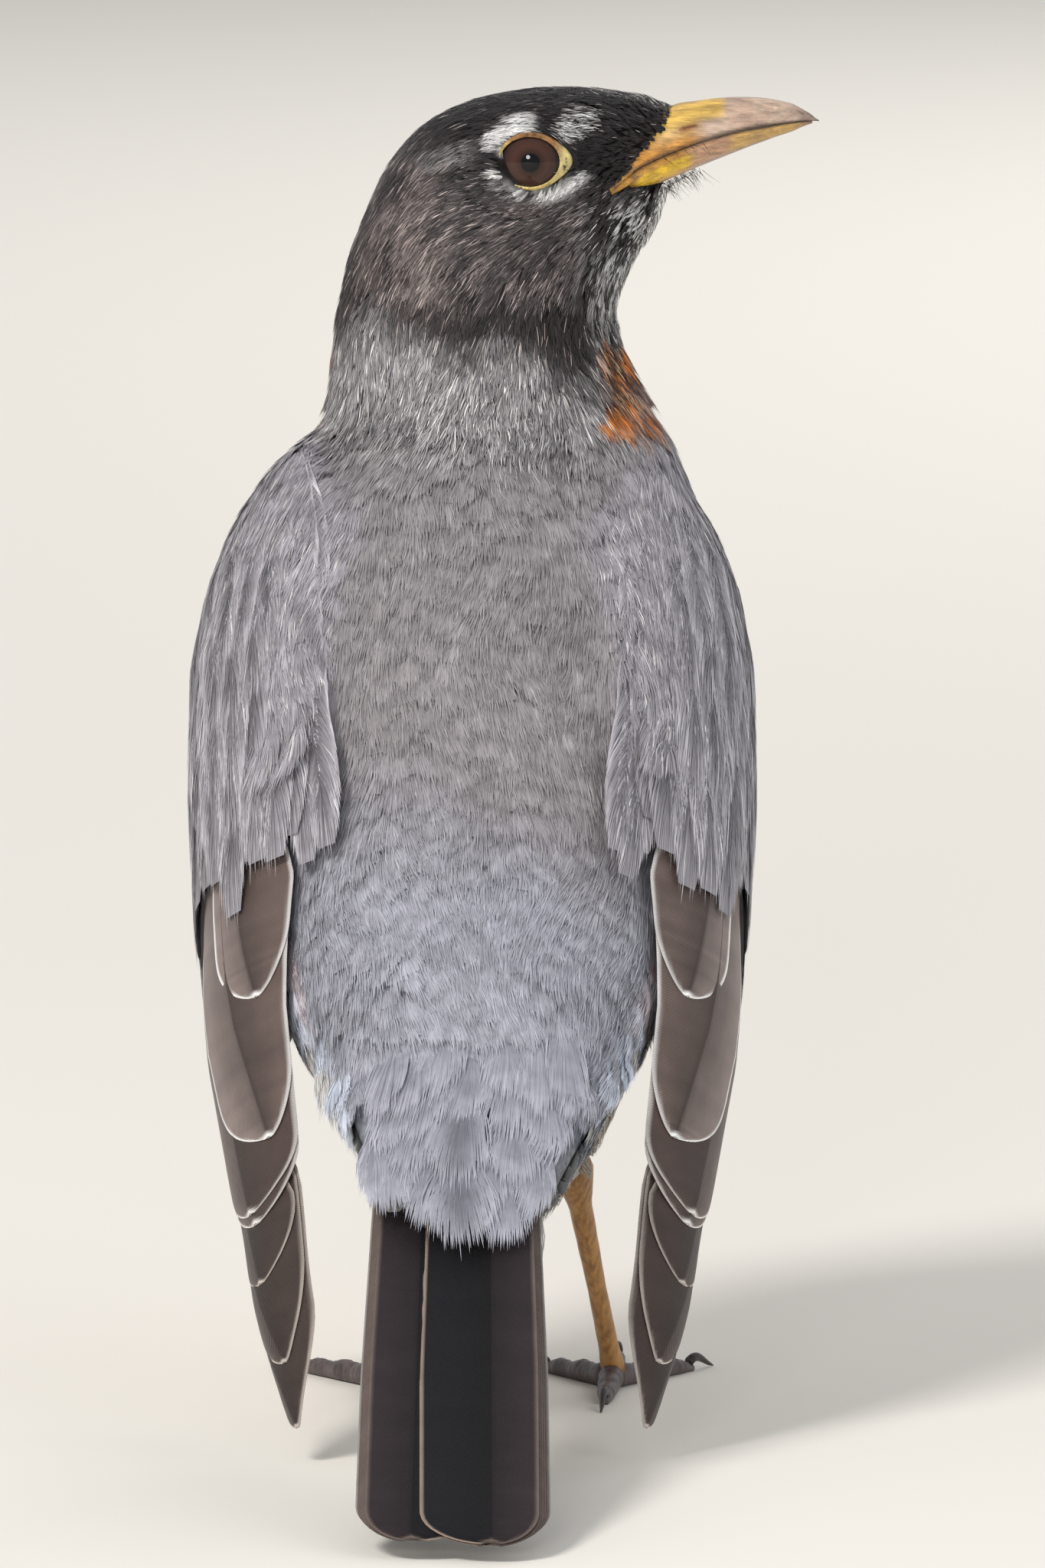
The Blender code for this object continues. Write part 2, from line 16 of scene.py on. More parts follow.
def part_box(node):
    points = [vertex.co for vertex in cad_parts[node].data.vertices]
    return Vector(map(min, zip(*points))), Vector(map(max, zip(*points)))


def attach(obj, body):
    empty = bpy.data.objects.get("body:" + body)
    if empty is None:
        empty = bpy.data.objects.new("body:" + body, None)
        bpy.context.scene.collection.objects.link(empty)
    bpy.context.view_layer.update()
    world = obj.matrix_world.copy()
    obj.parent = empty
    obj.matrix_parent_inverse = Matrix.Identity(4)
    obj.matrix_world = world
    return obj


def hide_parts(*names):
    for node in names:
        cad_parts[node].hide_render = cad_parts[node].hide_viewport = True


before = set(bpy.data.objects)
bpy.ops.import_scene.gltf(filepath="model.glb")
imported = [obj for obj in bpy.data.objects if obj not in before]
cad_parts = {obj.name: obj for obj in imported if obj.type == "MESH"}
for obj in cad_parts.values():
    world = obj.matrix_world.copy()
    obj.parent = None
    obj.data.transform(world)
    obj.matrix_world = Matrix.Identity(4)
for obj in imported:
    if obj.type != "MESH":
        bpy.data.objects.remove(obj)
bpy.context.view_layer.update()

MM = 0.001
HEAD = np.array((-6.9, -22.0, 144.1))  # places on the face and the bill are told from it
EYE = HEAD + (0.0, 0.0, 1.6)
EYE_SPREAD = 8.25
EYE_RADIUS = 4.7
SIDES = (("left", 1), ("right", -1))  # of the body, towards +X and towards -X
FACE_SIDES = (("right", 1), ("left", -1))  # of the turned head, towards +Y and towards -Y
SEED = 11

eye_low, eye_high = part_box("eye_right")
SHIFT = np.array((eye_low + eye_high) / 2) - (EYE + (0.0, EYE_SPREAD, 0.0)) * MM


# --- small helpers ---------------------------------------------------------------------


def placed(points):
    return np.asarray(points, float) * MM + SHIFT


def unplaced(points):
    return (np.asarray(points, float) - SHIFT) / MM


def unit(vectors):
    size = np.linalg.norm(vectors, axis=-1, keepdims=True)
    return vectors / np.maximum(size, 1e-9)


def ramp(low, high, values):
    f = np.clip((np.asarray(values, float) - low) / (high - low), 0.0, 1.0)
    return f * f * (3 - 2 * f)


def hump(low, high, values, soft=0.25):
    """1 between low and high; each end is eased over this share of the span, either way."""
    edge = (high - low) * soft
    risen = ramp(low - edge, low + edge, values)
    return risen * (1 - ramp(high - edge, high + edge, values))


def tone(red, green, blue):
    """Linear colour of an 8-bit display colour."""
    value = np.array((red, green, blue), float) / 255.0
    return np.where(value <= 0.04045, value / 12.92, ((value + 0.055) / 1.055) ** 2.4)


def vectors(x, y, z):
    """Rows of three numbers, from columns or single values."""
    return np.stack(np.broadcast_arrays(x, y, z), axis=1)


def blend(a, b, share):
    share = np.asarray(share, float)[..., None]
    return a * (1 - share) + b * share


WAVES = np.random.default_rng(SEED).normal(size=(14, 3))
WAVE_STARTS = np.random.default_rng(SEED + 1).uniform(0, 2 * math.pi, 14)


def drift(points, size):
    """Smooth variation from -1 to 1 over lengths of about this many millimetres."""
    phase = points @ (WAVES.T * (2.2 / size)) + WAVE_STARTS
    return np.clip(np.sin(phase).sum(axis=-1) / 4.0, -1, 1)


def deselect():
    if bpy.context.mode != "OBJECT":
        bpy.ops.object.mode_set(mode="OBJECT")
    bpy.ops.object.select_all(action="DESELECT")


def make_active(*objs):
    deselect()
    for obj in objs:
        obj.select_set(True)
    bpy.context.view_layer.objects.active = objs[0]


def edit_all(obj):
    """Edit mode with everything selected."""
    make_active(obj)
    bpy.ops.object.mode_set(mode="EDIT")
    bpy.ops.mesh.select_all(action="SELECT")


def face_outward(obj):
    """Turns the faces outward and shades them smooth."""
    edit_all(obj)
    bpy.ops.mesh.normals_make_consistent(inside=False)
    bpy.ops.object.mode_set(mode="OBJECT")
    bpy.ops.object.shade_smooth()


def linked(name, mesh):
    """A new piece from a mesh, made active."""
    obj = bpy.data.objects.new(name, mesh)
    bpy.context.scene.collection.objects.link(obj)
    make_active(obj)
    return obj


def read_points(mesh):
    found = np.empty(len(mesh.vertices) * 3, np.float32)
    mesh.vertices.foreach_get("co", found)
    return found.reshape(-1, 3).astype(float)


def read_normals(mesh):
    found = np.empty(len(mesh.vertices) * 3, np.float32)
    mesh.vertex_normals.foreach_get("vector", found)
    return found.reshape(-1, 3).astype(float)


def write_points(mesh, points):
    mesh.vertices.foreach_set("co", np.asarray(points, np.float32).ravel())
    mesh.update()


def write_colours(mesh, layer, colours):
    values = np.ones((len(mesh.vertices), 4), np.float32)
    values[:, :3] = colours
    attribute = mesh.color_attributes.new(layer, "FLOAT_COLOR", "POINT")
    attribute.data.foreach_set("color", values.ravel())


def dress(obj, material, slot, *nodes):
    """Gives a finished piece its material and its body, and hides the solids it stands for;
    the slot is not used.
    """
    obj.data.materials.clear()
    obj.data.materials.append(material)
    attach(obj, "root")
    if nodes:
        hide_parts(*nodes)
    return obj


# --- the body's spine ------------------------------------------------------------------

# Centre x, y, z; lean from level in degrees; half width; half depth; from tail to crown
SPINE = np.array((
    (0.8, 76.0, 27.6, 65.0, 9.6, 2.3),
    (0.5, 63.0, 33.8, 64.0, 11.8, 4.9),
    (-0.3, 48.0, 41.5, 60.0, 16.4, 8.8),
    (0.0, 33.0, 49.0, 51.0, 22.0, 15.4),
    (0.0, 17.0, 56.0, 43.0, 25.6, 21.6),
    (0.0, 1.5, 68.0, 37.0, 28.4, 26.2),
    (0.0, -12.0, 83.5, 32.0, 29.4, 27.2),
    (-0.6, -20.0, 98.5, 23.0, 27.4, 24.4),
    (-2.6, -23.0, 110.5, 12.0, 21.6, 19.4),
    (-1.2, -23.0, 119.0, 4.0, 18.3, 16.4),
    (-0.3, -22.3, 125.4, 0.0, 16.7, 14.8),
    (-1.4, -22.0, 130.2, 0.0, 16.8, 13.8),
    (-4.5, -22.0, 138.0, 0.0, 17.4, 12.7),
    (-7.1, -22.0, 145.2, 0.0, 16.4, 12.0),
    (-10.9, -22.0, 152.0, 0.0, 9.8, 6.6),
))
FINE = np.linspace(0, len(SPINE) - 1, 240)
FINE_SPINE = np.stack([np.interp(FINE, np.arange(len(SPINE)), c) for c in SPINE.T], axis=1)
FINE_WAY = unit(np.gradient(FINE_SPINE[:, :3], axis=0))


def body_place(points):
    """Station along the spine, shares towards the back and to the left, way to the head."""
    distance = ((points[:, None, :] - FINE_SPINE[None, :, :3]) ** 2).sum(axis=2)
    nearest = distance.argmin(axis=1)
    row = FINE_SPINE[nearest]
    lean = np.radians(row[:, 3])
    off = points - row[:, :3]
    back = (off[:, 1] * np.cos(lean) + off[:, 2] * np.sin(lean)) / row[:, 5]
    return FINE[nearest], back, off[:, 0] / row[:, 4], FINE_WAY[nearest]


TAIL_BASE = np.array((-1.0, 44.0, 42.6))
TAIL_TIP = np.array((2.2, 130.0, 2.6))
TAIL_LINE = unit(TAIL_TIP - TAIL_BASE)
TAIL_ACROSS = unit(np.array((TAIL_LINE[1], -TAIL_LINE[0], 0.0)))
TAIL_UP = np.cross(TAIL_ACROSS, TAIL_LINE)
SKIN_END = 27.0  # mm along the tail from its base, where the skin stops
TAIL_COVERT_START = 5.0  # where the body's own small feathers end on the rump


def tail_reach(points):
    return (points - TAIL_BASE) @ TAIL_LINE


# --- the folded wing's surface ---------------------------------------------------------

WRIST = np.array((29.0, -20.0, 101.0))
WING_TIP = np.array((21.0, 56.0, 3.4))
# Share of the wing; bulge; edge on the back; edge below; widths to those edges
WING = np.array((
    (-0.10, 16.0, 15.4, 15.4, 3.0, 3.0),
    (-0.08, 20.4, 18.6, 19.0, 6.0, 5.0),
    (-0.06, 23.2, 20.2, 21.2, 8.5, 6.5),
    (-0.03, 26.3, 20.4, 23.0, 11.5, 9.0),
    (0.02, 29.6, 19.4, 24.4, 14.5, 11.5),
    (0.08, 31.8, 18.2, 25.2, 17.5, 13.0),
    (0.17, 33.6, 17.6, 26.0, 20.0, 15.0),
    (0.30, 33.9, 18.0, 27.5, 21.0, 17.0),
    (0.46, 33.2, 20.4, 28.5, 18.5, 16.5),
    (0.60, 31.8, 20.8, 28.2, 16.0, 13.5),
    (0.77, 28.4, 19.0, 25.8, 13.0, 9.5),
    (0.90, 24.9, 16.8, 23.0, 9.0, 5.0),
    (1.00, 21.6, 16.8, 20.6, 5.0, 1.6),
    (1.06, 19.6, 16.6, 19.2, 2.6, 1.0),
))
WING_LINE = (WING_TIP - WRIST) * (0, 1, 1)
WING_LENGTH = float(np.linalg.norm(WING_LINE))
WING_BACK = unit(np.array((0.0, -WING_LINE[2], WING_LINE[1])))
COVERT_SKIN_END = 0.34  # share of the wing's length where the skin under it stops


def wing_shape(share, rise):
    """Bulge, height of the edge and width on the side where rise lies, and the share of
    that width which rise makes."""
    out, back_x, low_x, back_w, low_w = (
        np.interp(share, WING[:, 0], column) for column in WING.T[1:]
    )
    width = np.where(rise > 0, back_w, low_w)
    edge = np.where(rise > 0, back_x, low_x)
    u = np.abs(rise) / width
    return out, edge, width, u


def wing_surface(side, share, rise, depth):
    """Points on a folded wing, and the ways outward there: rise is mm up towards the back,
    depth is mm under the surface."""
    share, rise, depth = np.broadcast_arrays(
        *(np.asarray(v, float) for v in (share, rise, depth))
    )
    out, edge, width, u = wing_shape(share, rise)
    slope = 2 * (out - edge) * u / width * np.where(rise > 0, 1, -1)
    outward = unit(np.array((1.0, 0.0, 0.0)) + WING_BACK * slope[..., None])
    point = np.array((0.0, WRIST[1], WRIST[2])) + WING_LINE * share[..., None]
    point = point + WING_BACK * rise[..., None] - outward * depth[..., None]
    point[..., 0] += out - (out - edge) * u**2
    mirror = np.array((side, 1.0, 1.0))
    return point * mirror, outward * mirror


def wing_place(points):
    """For points near either wing: share of its length, mm up towards the back, share of
    the width on that side, and mm under the surface."""
    off = points - np.array((0.0, WRIST[1], WRIST[2]))
    share = off @ WING_LINE / WING_LENGTH**2
    rise = off @ WING_BACK
    out, edge, _, u = wing_shape(share, rise)
    return share, rise, u, out - (out - edge) * u**2 - np.abs(points[:, 0])


# --- markings --------------------------------------------------------------------------

MANTLE = tone(142, 137, 139)
LOW_BACK = tone(161, 161, 170)
NAPE = tone(148, 144, 146)
BLACK = tone(38, 34, 34)
CHEEK = tone(122, 112, 109)
WHITE = tone(243, 241, 238)
ORANGE = tone(186, 104, 50)
SIDE_ORANGE = tone(196, 116, 52)
BUFF = tone(222, 180, 138)
BELLY = tone(226, 222, 214)
BELLY_SHADE = tone(150, 150, 156)
SHOULDER = tone(156, 152, 158)
DOWN = tone(74, 72, 76)
BREAST_STREAK = tone(52, 46, 46)
SIDE_STRIPE = tone(44, 40, 40)
SIDE_ASH = tone(122, 112, 112)
RUMP_EDGE, RUMP_EDGE_TIP = tone(206, 214, 228), tone(232, 236, 244)
RUMP_SHADE = tone(92, 94, 104)

RING_MIDDLE = (0.35, 1.6)  # middle of the bare ring, ahead of and above the face's middle
RING_SIZE = (4.3, 3.55)
# The white arc under the eye, by the angle round it in degrees: how far out its middle
# line runs, where 1 is the ring's edge, and how thick it is there
ARC_ANGLES = (195, 230, 265, 300, 330, 348)
ARC_LINE = (1.24, 1.15, 1.10, 1.18, 1.34, 1.46)
ARC_THICKNESS = (0.10, 0.12, 0.13, 0.19, 0.21, 0.12)
LORES_PATCH = (6.1, 6.0)  # middle of the pale patch before the eye, ahead and above
LORES_WAY = (0.86, 0.50)
LORES_SIZE = (3.9, 1.9)


def face_place(points):
    """Millimetres ahead of and above HEAD, and out from the head's middle plane."""
    return HEAD[0] - points[:, 0], points[:, 2] - HEAD[2], np.abs(points[:, 1] - HEAD[1])


def lid_distance(ahead, above):
    """1 on the outer edge of the bare ring round the eye."""
    off = (ahead - RING_MIDDLE[0]) / RING_SIZE[0], (above - RING_MIDDLE[1]) / RING_SIZE[1]
    return np.hypot(*off)


class Place:
    """Where points lie on the bird, and the slow and the quick variation of tone there."""

    def __init__(self, points):
        self.points = points
        self.x, self.y, self.z = points.T
        self.station, self.back, self.across, _ = body_place(points)
        self.ahead, self.above, self.out = face_place(points)
        self.large, self.small = drift(points, 14.0), drift(points, 4.0)


class Plumage:
    """Colours of feathers while they are painted: middle, tip and pale barbs."""

    def __init__(self, middle, tip, pale, pale_share):
        self.middle, self.tip, self.pale, self.pale_share = middle, tip, pale, pale_share

    def paint(self, share, middle=None, tip=None, pale=None, pale_share=None):
        if middle is not None:
            self.middle = blend(self.middle, middle, share)
        if tip is not None:
            self.tip = blend(self.tip, tip, share)
        if pale is not None:
            self.pale = blend(self.pale, pale, share)
        if pale_share is not None:
            self.pale_share = self.pale_share * (1 - share) + share * pale_share


def grey_back(at):
    """The whole bird in the greys of the back, which the rest is painted over."""
    middle = blend(MANTLE, LOW_BACK, ramp(80, 58, at.z + 4 * at.large))
    middle = middle * (1 + 0.05 * at.small + 0.03 * at.large)[:, None]
    pale = blend(middle * 1.4, np.ones(3) * 0.75, np.full(len(at.x), 0.2))
    return Plumage(middle, middle * 1.16, pale, np.full(len(at.x), 0.06))


def paint_neck(at, coat):
    """Nape and sides of the neck, with dark bases that show."""
    neck = ramp(108, 114, at.z)
    coat.paint(neck, NAPE * 0.86, NAPE * 1.2, WHITE * 0.75)
    coat.pale_share = coat.pale_share + 0.13 * neck
    fleck = ramp(0.1, 0.7, at.small + 0.4 * at.large) * hump(106, 116, at.z, 0.3)
    coat.paint(0.55 * fleck, DOWN)
    return neck


def breast_limit(at):
    """How far round towards the back the breast's colour reaches."""
    turned = ramp(-2, -10, at.x) * ramp(128, 122, at.z)
    higher = 0.10 * ramp(97, 106, at.z) + 0.10 * ramp(107, 114, at.z) + 0.04 * at.small
    limit = 0.02 + turned * higher
    return limit - 0.12 * ramp(66, 52, at.z)


def paint_breast(at, coat, limit):
    """Brick orange in front, streaked at its upper edge and buff at the far right."""
    front = ramp(limit + 0.10, limit - 0.12, at.back + 0.10 * at.small)
    front = front * ramp(129, 123, at.z)
    streak = ramp(0.05, 0.5, drift(at.points * (2.2, 2.2, 0.35), 5.0))
    streak = streak * ramp(limit - 0.5, limit + 0.02, at.back)
    streak = streak * hump(100, 124, at.z, 0.1)
    breast = blend(ORANGE, BREAST_STREAK, 0.8 * streak)
    rim = ramp(-0.80, -0.98, at.across) * hump(102, 118, at.z, 0.2)
    breast = blend(breast, BUFF, 0.75 * rim)
    coat.paint(front, breast, breast * 1.25 + 0.02, BUFF, 0.10)


def paint_side(at, coat):
    """The striped orange patch on the right side of the neck's base, with a buff rim."""
    low_edge = np.interp(-at.x, (15, 19, 22, 26), (113.5, 112.5, 109.5, 106.0))
    beside = ramp(low_edge - 1.2, low_edge + 0.6, at.z + 0.8 * at.small)
    beside = beside * ramp(124.6, 122.8, at.z + at.small)
    beside = beside * ramp(-14.2, -15.8, at.x + 0.6 * at.small)
    thread = drift(at.points * (2.6, 2.6, 0.5), 2.6)
    stripe = ramp(-0.10, 0.30, thread) * ramp(114, 117, at.z) * 0.9
    band = hump(116.2, 118.6, at.z + 0.7 * (at.x + 17), 0.3)
    stripe = np.maximum(stripe, 0.9 * band)
    ash = ramp(-17.4, -18.8, at.x + 0.8 * at.small) * ramp(119.0, 117.0, at.z)
    ash = ash * ramp(0.75, 0.45, thread)
    patch = blend(SIDE_ORANGE, SIDE_STRIPE, stripe)
    patch = blend(patch, SIDE_ASH, 0.85 * ash)
    coat.paint(beside, patch, patch * 1.2)
    rim = ramp(-0.86, -0.97, at.across) * hump(106, 116, at.z, 0.15)
    rim = rim * ramp(0.6, 0.3, at.back)
    coat.paint(0.9 * rim, BUFF, BUFF * 1.2)
    coat.paint(beside, pale=BUFF)
    return beside


def paint_belly(at, coat, limit):
    """White belly and vent, and orange on the flanks."""
    vent = ramp(66, 54, at.z + 3 * at.small - 0.25 * (at.y - 10))
    vent = vent * ramp(limit + 0.22, limit + 0.02, at.back + 0.06 * at.small)
    shade = 0.6 * ramp(0.2, 0.8, drift(at.points * (1, 1, 2.2), 5.0))
    coat.paint(vent, blend(BELLY, BELLY_SHADE, shade), BELLY * 1.05)
    flank = hump(50, 66, at.z, 0.2) * ramp(18.0, 20.0, np.abs(at.x))
    flank = flank * ramp(0.42, 0.22, at.back)
    coat.paint(0.85 * flank, ORANGE, ORANGE * 1.3)


def paint_rump(at, coat):
    """Bluish white along the sides of the rump, with a shade above it."""
    edge = hump(1.3, 3.6, at.station, 0.15) * hump(-0.25, 0.30, at.back, 0.3)
    edge = edge * ramp(-0.9, 0.0, drift(at.points, 3.0))
    coat.paint(0.9 * edge, RUMP_EDGE, RUMP_EDGE_TIP)
    shade = 0.6 * hump(1.6, 3.4, at.station, 0.2) * hump(0.34, 0.46, at.back, 0.5)
    coat.paint(shade, RUMP_SHADE)


def paint_wing(at, coat):
    """The skin and the small feathers where the wing's shoulder lies."""
    share, rise, u, under = wing_place(at.points)
    wing = hump(-0.12, 0.40, share, 0.02) * ramp(5.0, 3.5, under) * ramp(1.12, 1.0, u)
    blades = 0.10 * np.sin(rise * 1.1 + 9 * share + 2 * at.small) + 0.08 * at.large
    covert = SHOULDER * (0.94 + blades[:, None])
    coat.paint(wing, covert, covert * 1.18, WHITE * 0.8, 0.08)


def paint_hood(at, coat, beside):
    """Blackish hood, browner and flecked on the cheek and behind it."""
    line = 123.5 + 3.5 * ramp(0, 14, at.x) - 3.5 * ramp(-6, -13, at.x)
    hood = ramp(line - 3.5, line + 3.0, at.z + 1.6 * at.small + 1.2 * at.large)
    hood = hood * (1 - beside)
    crown = ramp(1.0, 6.0, at.above + 0.15 * at.ahead)
    black = blend(BLACK * 1.35, BLACK, crown)
    cheek = hump(-18, 7, at.ahead, 0.15) * hump(-15, -3.0, at.above, 0.2)
    cheek = cheek * ramp(2, 8, at.out)
    cheek = cheek * (0.62 + 0.38 * at.small)
    behind = hump(-26, -9, at.ahead, 0.2) * hump(-16, 2, at.above, 0.2)
    black = blend(black, CHEEK, np.clip(0.40 * cheek + 0.20 * behind, 0, 1))
    blotch = ramp(0.15, 0.65, drift(at.points, 2.6)) * (cheek + behind).clip(0, 1)
    black = blend(black, BLACK * 0.8, 0.75 * blotch)
    behind, cheek = behind * (1 - 0.6 * blotch), cheek * (1 - 0.6 * blotch)
    brown = np.clip(0.75 * cheek + 0.4 * behind, 0, 1)
    pale_share = 0.03 + 0.22 * cheek + 0.12 * behind
    tip = blend(black * 1.7, CHEEK * 1.15, brown)
    coat.paint(hood, black, tip, CHEEK * 2.1, pale_share)
    return hood


def paint_throat(at, coat, beside):
    """Chin and throat, white with black streaks; returns where, and the white lines."""
    low = ramp(117, 121, at.z)
    throat = ramp(4.5, 10.5, at.ahead) * ramp(-2.5, -5.5, at.above) * low
    chin = ramp(11, 14, at.ahead) * ramp(-1.5, -3.0, at.above) * low
    throat = np.maximum(throat, chin)
    throat = throat * (1 - beside)
    lines = drift(at.points * (1.6, 3.2, 0.22), 1.7)
    white_line = ramp(-0.10, 0.55, lines - 0.25 * ramp(10, 5, at.ahead))
    streaked = blend(BLACK * 0.9, WHITE * 0.60, white_line)
    coat.paint(0.9 * throat, streaked, blend(BLACK * 1.2, WHITE * 0.85, white_line))
    coat.paint(throat, pale=WHITE, pale_share=0.12 + 0.25 * white_line)
    return throat, white_line


def paint_face(at, coat):
    """White marks round the eye and before it, on black lores; returns the white."""
    sides = ramp(5.0, 8.0, at.out)
    angle = np.degrees(np.arctan2(at.above - RING_MIDDLE[1], at.ahead)) % 360
    near = lid_distance(at.ahead, at.above)
    brow = hump(84, 165, angle, 0.10)
    brow = brow * ramp(1.56, 1.38, near + 0.05 * drift(at.points, 1.0))
    line = np.interp(angle, ARC_ANGLES, ARC_LINE)
    thick = np.interp(angle, ARC_ANGLES, ARC_THICKNESS)
    arc = np.maximum(hump(193, 262, angle, 0.06), hump(270, 346, angle, 0.06))
    arc = arc * np.exp(-(((near - line) / thick) ** 2))
    off = at.ahead - LORES_PATCH[0], at.above - LORES_PATCH[1]
    along = off[0] * LORES_WAY[0] + off[1] * LORES_WAY[1]
    beyond = -off[0] * LORES_WAY[1] + off[1] * LORES_WAY[0]
    lores = np.exp(-((along / LORES_SIZE[0]) ** 2) - (beyond / LORES_SIZE[1]) ** 2)
    lores = ramp(0.30, 0.62, lores)
    trail = hump(-13, -6.5, at.ahead, 0.15)
    trail = trail * hump(1.0, 3.2, at.above - 0.28 * (at.ahead + 13) + 1.2, 0.3) * 0.12
    white = np.clip(np.maximum.reduce((brow, arc, trail)), 0, 1) * sides
    lores = lores * sides * (1 - white)
    dark = hump(1.5, 5.0, at.ahead, 0.15) * hump(2.6, 6.0, at.above, 0.2)
    dark = dark * (1 - lores) * (1 - brow) * sides
    bridle = hump(4.8, 15.5, at.ahead, 0.1)
    bridle = bridle * hump(-2.4, 3.2, at.above - 0.2 * (at.ahead - 5), 0.2) * sides
    dark = np.maximum(dark, bridle)
    coat.paint(dark * (1 - white), BLACK * 0.55, BLACK * 0.8)
    coat.paint(white, WHITE, WHITE, WHITE)
    coat.paint(lores, pale=WHITE * 0.85)
    more = 0.5 * white * (1 - coat.pale_share) + 0.62 * lores
    coat.pale_share = np.clip(coat.pale_share * (1 - dark) + more, 0, 1)
    return white


def markings(points):
    """Colours of the plumage at these places: root, middle and tip of a feather, the
    colour of its pale barbs and how large a share of them is pale."""
    at = Place(points)
    coat = grey_back(at)
    neck = paint_neck(at, coat)
    limit = breast_limit(at)
    paint_breast(at, coat, limit)
    beside = paint_side(at, coat)
    paint_belly(at, coat, limit)
    paint_rump(at, coat)
    paint_wing(at, coat)
    hood = paint_hood(at, coat, beside)
    throat, white_line = paint_throat(at, coat, beside)
    white = paint_face(at, coat)
    root = coat.middle * (0.76 - 0.32 * neck - 0.12 * hood)[:, None] + DOWN * 0.10
    marked = np.clip(white + 0.5 * throat * white_line, 0, 1)
    root = blend(root, coat.middle * 0.85, marked)
    return {
        "root": root, "middle": coat.middle, "tip": coat.tip, "pale": coat.pale,
        "pale_share": coat.pale_share,
    }


# --- materials -------------------------------------------------------------------------


def new_material(name, roughness, specular=0.5, **sockets):
    material = bpy.data.materials.new(name)
    material.use_nodes = True
    shader = material.node_tree.nodes["Principled BSDF"]
    shader.inputs["Roughness"].default_value = roughness
    shader.inputs["Specular IOR Level"].default_value = specular
    for socket, value in sockets.items():
        shader.inputs[socket.replace("_", " ")].default_value = value
    return material, material.node_tree, shader


def node(tree, kind, **values):
    made = tree.nodes.new(kind)
    for key, value in values.items():
        if key in made.inputs:
            made.inputs[key].default_value = value
        else:
            setattr(made, key, value)
    return made


def joined(tree, a, b):
    tree.links.new(a, b)


def maths(tree, operation, *values, kind="ShaderNodeMath"):
    """A maths node's result; each value is a number or another node's output."""
    made = node(tree, kind, operation=operation)
    for socket, value in zip(made.inputs, values):
        if isinstance(value, bpy.types.NodeSocket):
            joined(tree, value, socket)
        else:
            socket.default_value = value
    return made.outputs[0]


def noise(tree, scale, detail=3.0, stretch=(1, 1, 1)):
    """Noise on object coordinates; scale counts per metre."""
    place = node(tree, "ShaderNodeTexCoord")
    mapping = node(tree, "ShaderNodeMapping")
    mapping.inputs["Scale"].default_value = stretch
    texture = node(tree, "ShaderNodeTexNoise", Scale=scale, Detail=detail)
    joined(tree, place.outputs["Object"], mapping.inputs["Vector"])
    joined(tree, mapping.outputs["Vector"], texture.inputs["Vector"])
    return texture.outputs["Fac"]


def remap(tree, value, low, high, source=(0.3, 0.7)):
    """A value brought from the source's range to low and high."""
    ranged = node(tree, "ShaderNodeMapRange")
    ranged.inputs["From Min"].default_value = source[0]
    ranged.inputs["From Max"].default_value = source[1]
    ranged.inputs["To Min"].default_value = low
    ranged.inputs["To Max"].default_value = high
    joined(tree, value, ranged.inputs["Value"])
    return ranged.outputs["Result"]


def colour_from(tree, shader, attribute, factor):
    """The base colour is an attribute's colour times a factor."""
    colour = node(tree, "ShaderNodeAttribute", attribute_name=attribute)
    scaled = node(tree, "ShaderNodeVectorMath", operation="SCALE")
    joined(tree, colour.outputs["Color"], scaled.inputs[0])
    joined(tree, factor, scaled.inputs["Scale"])
    joined(tree, scaled.outputs["Vector"], shader.inputs["Base Color"])


def bump(tree, shader, height, distance, strength):
    made = node(tree, "ShaderNodeBump", Strength=strength, Distance=distance)
    joined(tree, height, made.inputs["Height"])
    joined(tree, made.outputs["Normal"], shader.inputs["Normal"])


def plumage_material(name, roughness, specular):
    sheen = {"Sheen_Weight": 0.12, "Sheen_Roughness": 0.4}
    material, tree, shader = new_material(name, roughness, specular, **sheen)
    patches = remap(tree, noise(tree, 420.0), 0.86, 1.12)
    colour_from(tree, shader, "Plume", patches)
    return material


BARB_SLANT = -1.35  # how far up the shaft a barb leaves it, for a step to the side
BARB_SPACING = 0.42  # mm


def barb_lines(tree):
    """Waves from 0 to 1 that leave a feather's shaft at a slant; the Vane map is in cm."""
    place = node(tree, "ShaderNodeUVMap", uv_map="Vane")
    parts = node(tree, "ShaderNodeSeparateXYZ")
    joined(tree, place.outputs["UV"], parts.inputs["Vector"])
    away = maths(tree, "ABSOLUTE", parts.outputs["X"])
    slant = maths(tree, "MULTIPLY_ADD", away, BARB_SLANT, parts.outputs["Y"])
    turns = maths(tree, "MULTIPLY", slant, 10.0 / BARB_SPACING * 2 * math.pi)
    return remap(tree, maths(tree, "SINE", turns), 0.0, 1.0, (-1.0, 1.0))


def vane_material(name, roughness, specular, contrast):
    sheen = {"Sheen_Weight": 0.10, "Sheen_Roughness": 0.4}
    material, tree, shader = new_material(name, roughness, specular, **sheen)
    lines = barb_lines(tree)
    patches = remap(tree, noise(tree, 260.0), 0.90, 1.10)
    striped = remap(tree, lines, 1 - contrast, 1 + contrast, (0.0, 1.0))
    colour_from(tree, shader, "Plume", maths(tree, "MULTIPLY", striped, patches))
    bump(tree, shader, lines, 0.00006, 0.6)
    return material


def skin_material():
    material, tree, shader = new_material("plumage_ground", 0.9, 0.1)
    patches = remap(tree, noise(tree, 900.0, 4.0), 0.5, 1.1)
    colour_from(tree, shader, "Plume", patches)
    bump(tree, shader, noise(tree, 2600.0, 3.0, (1, 1, 0.3)), 0.0002, 0.6)
    return material


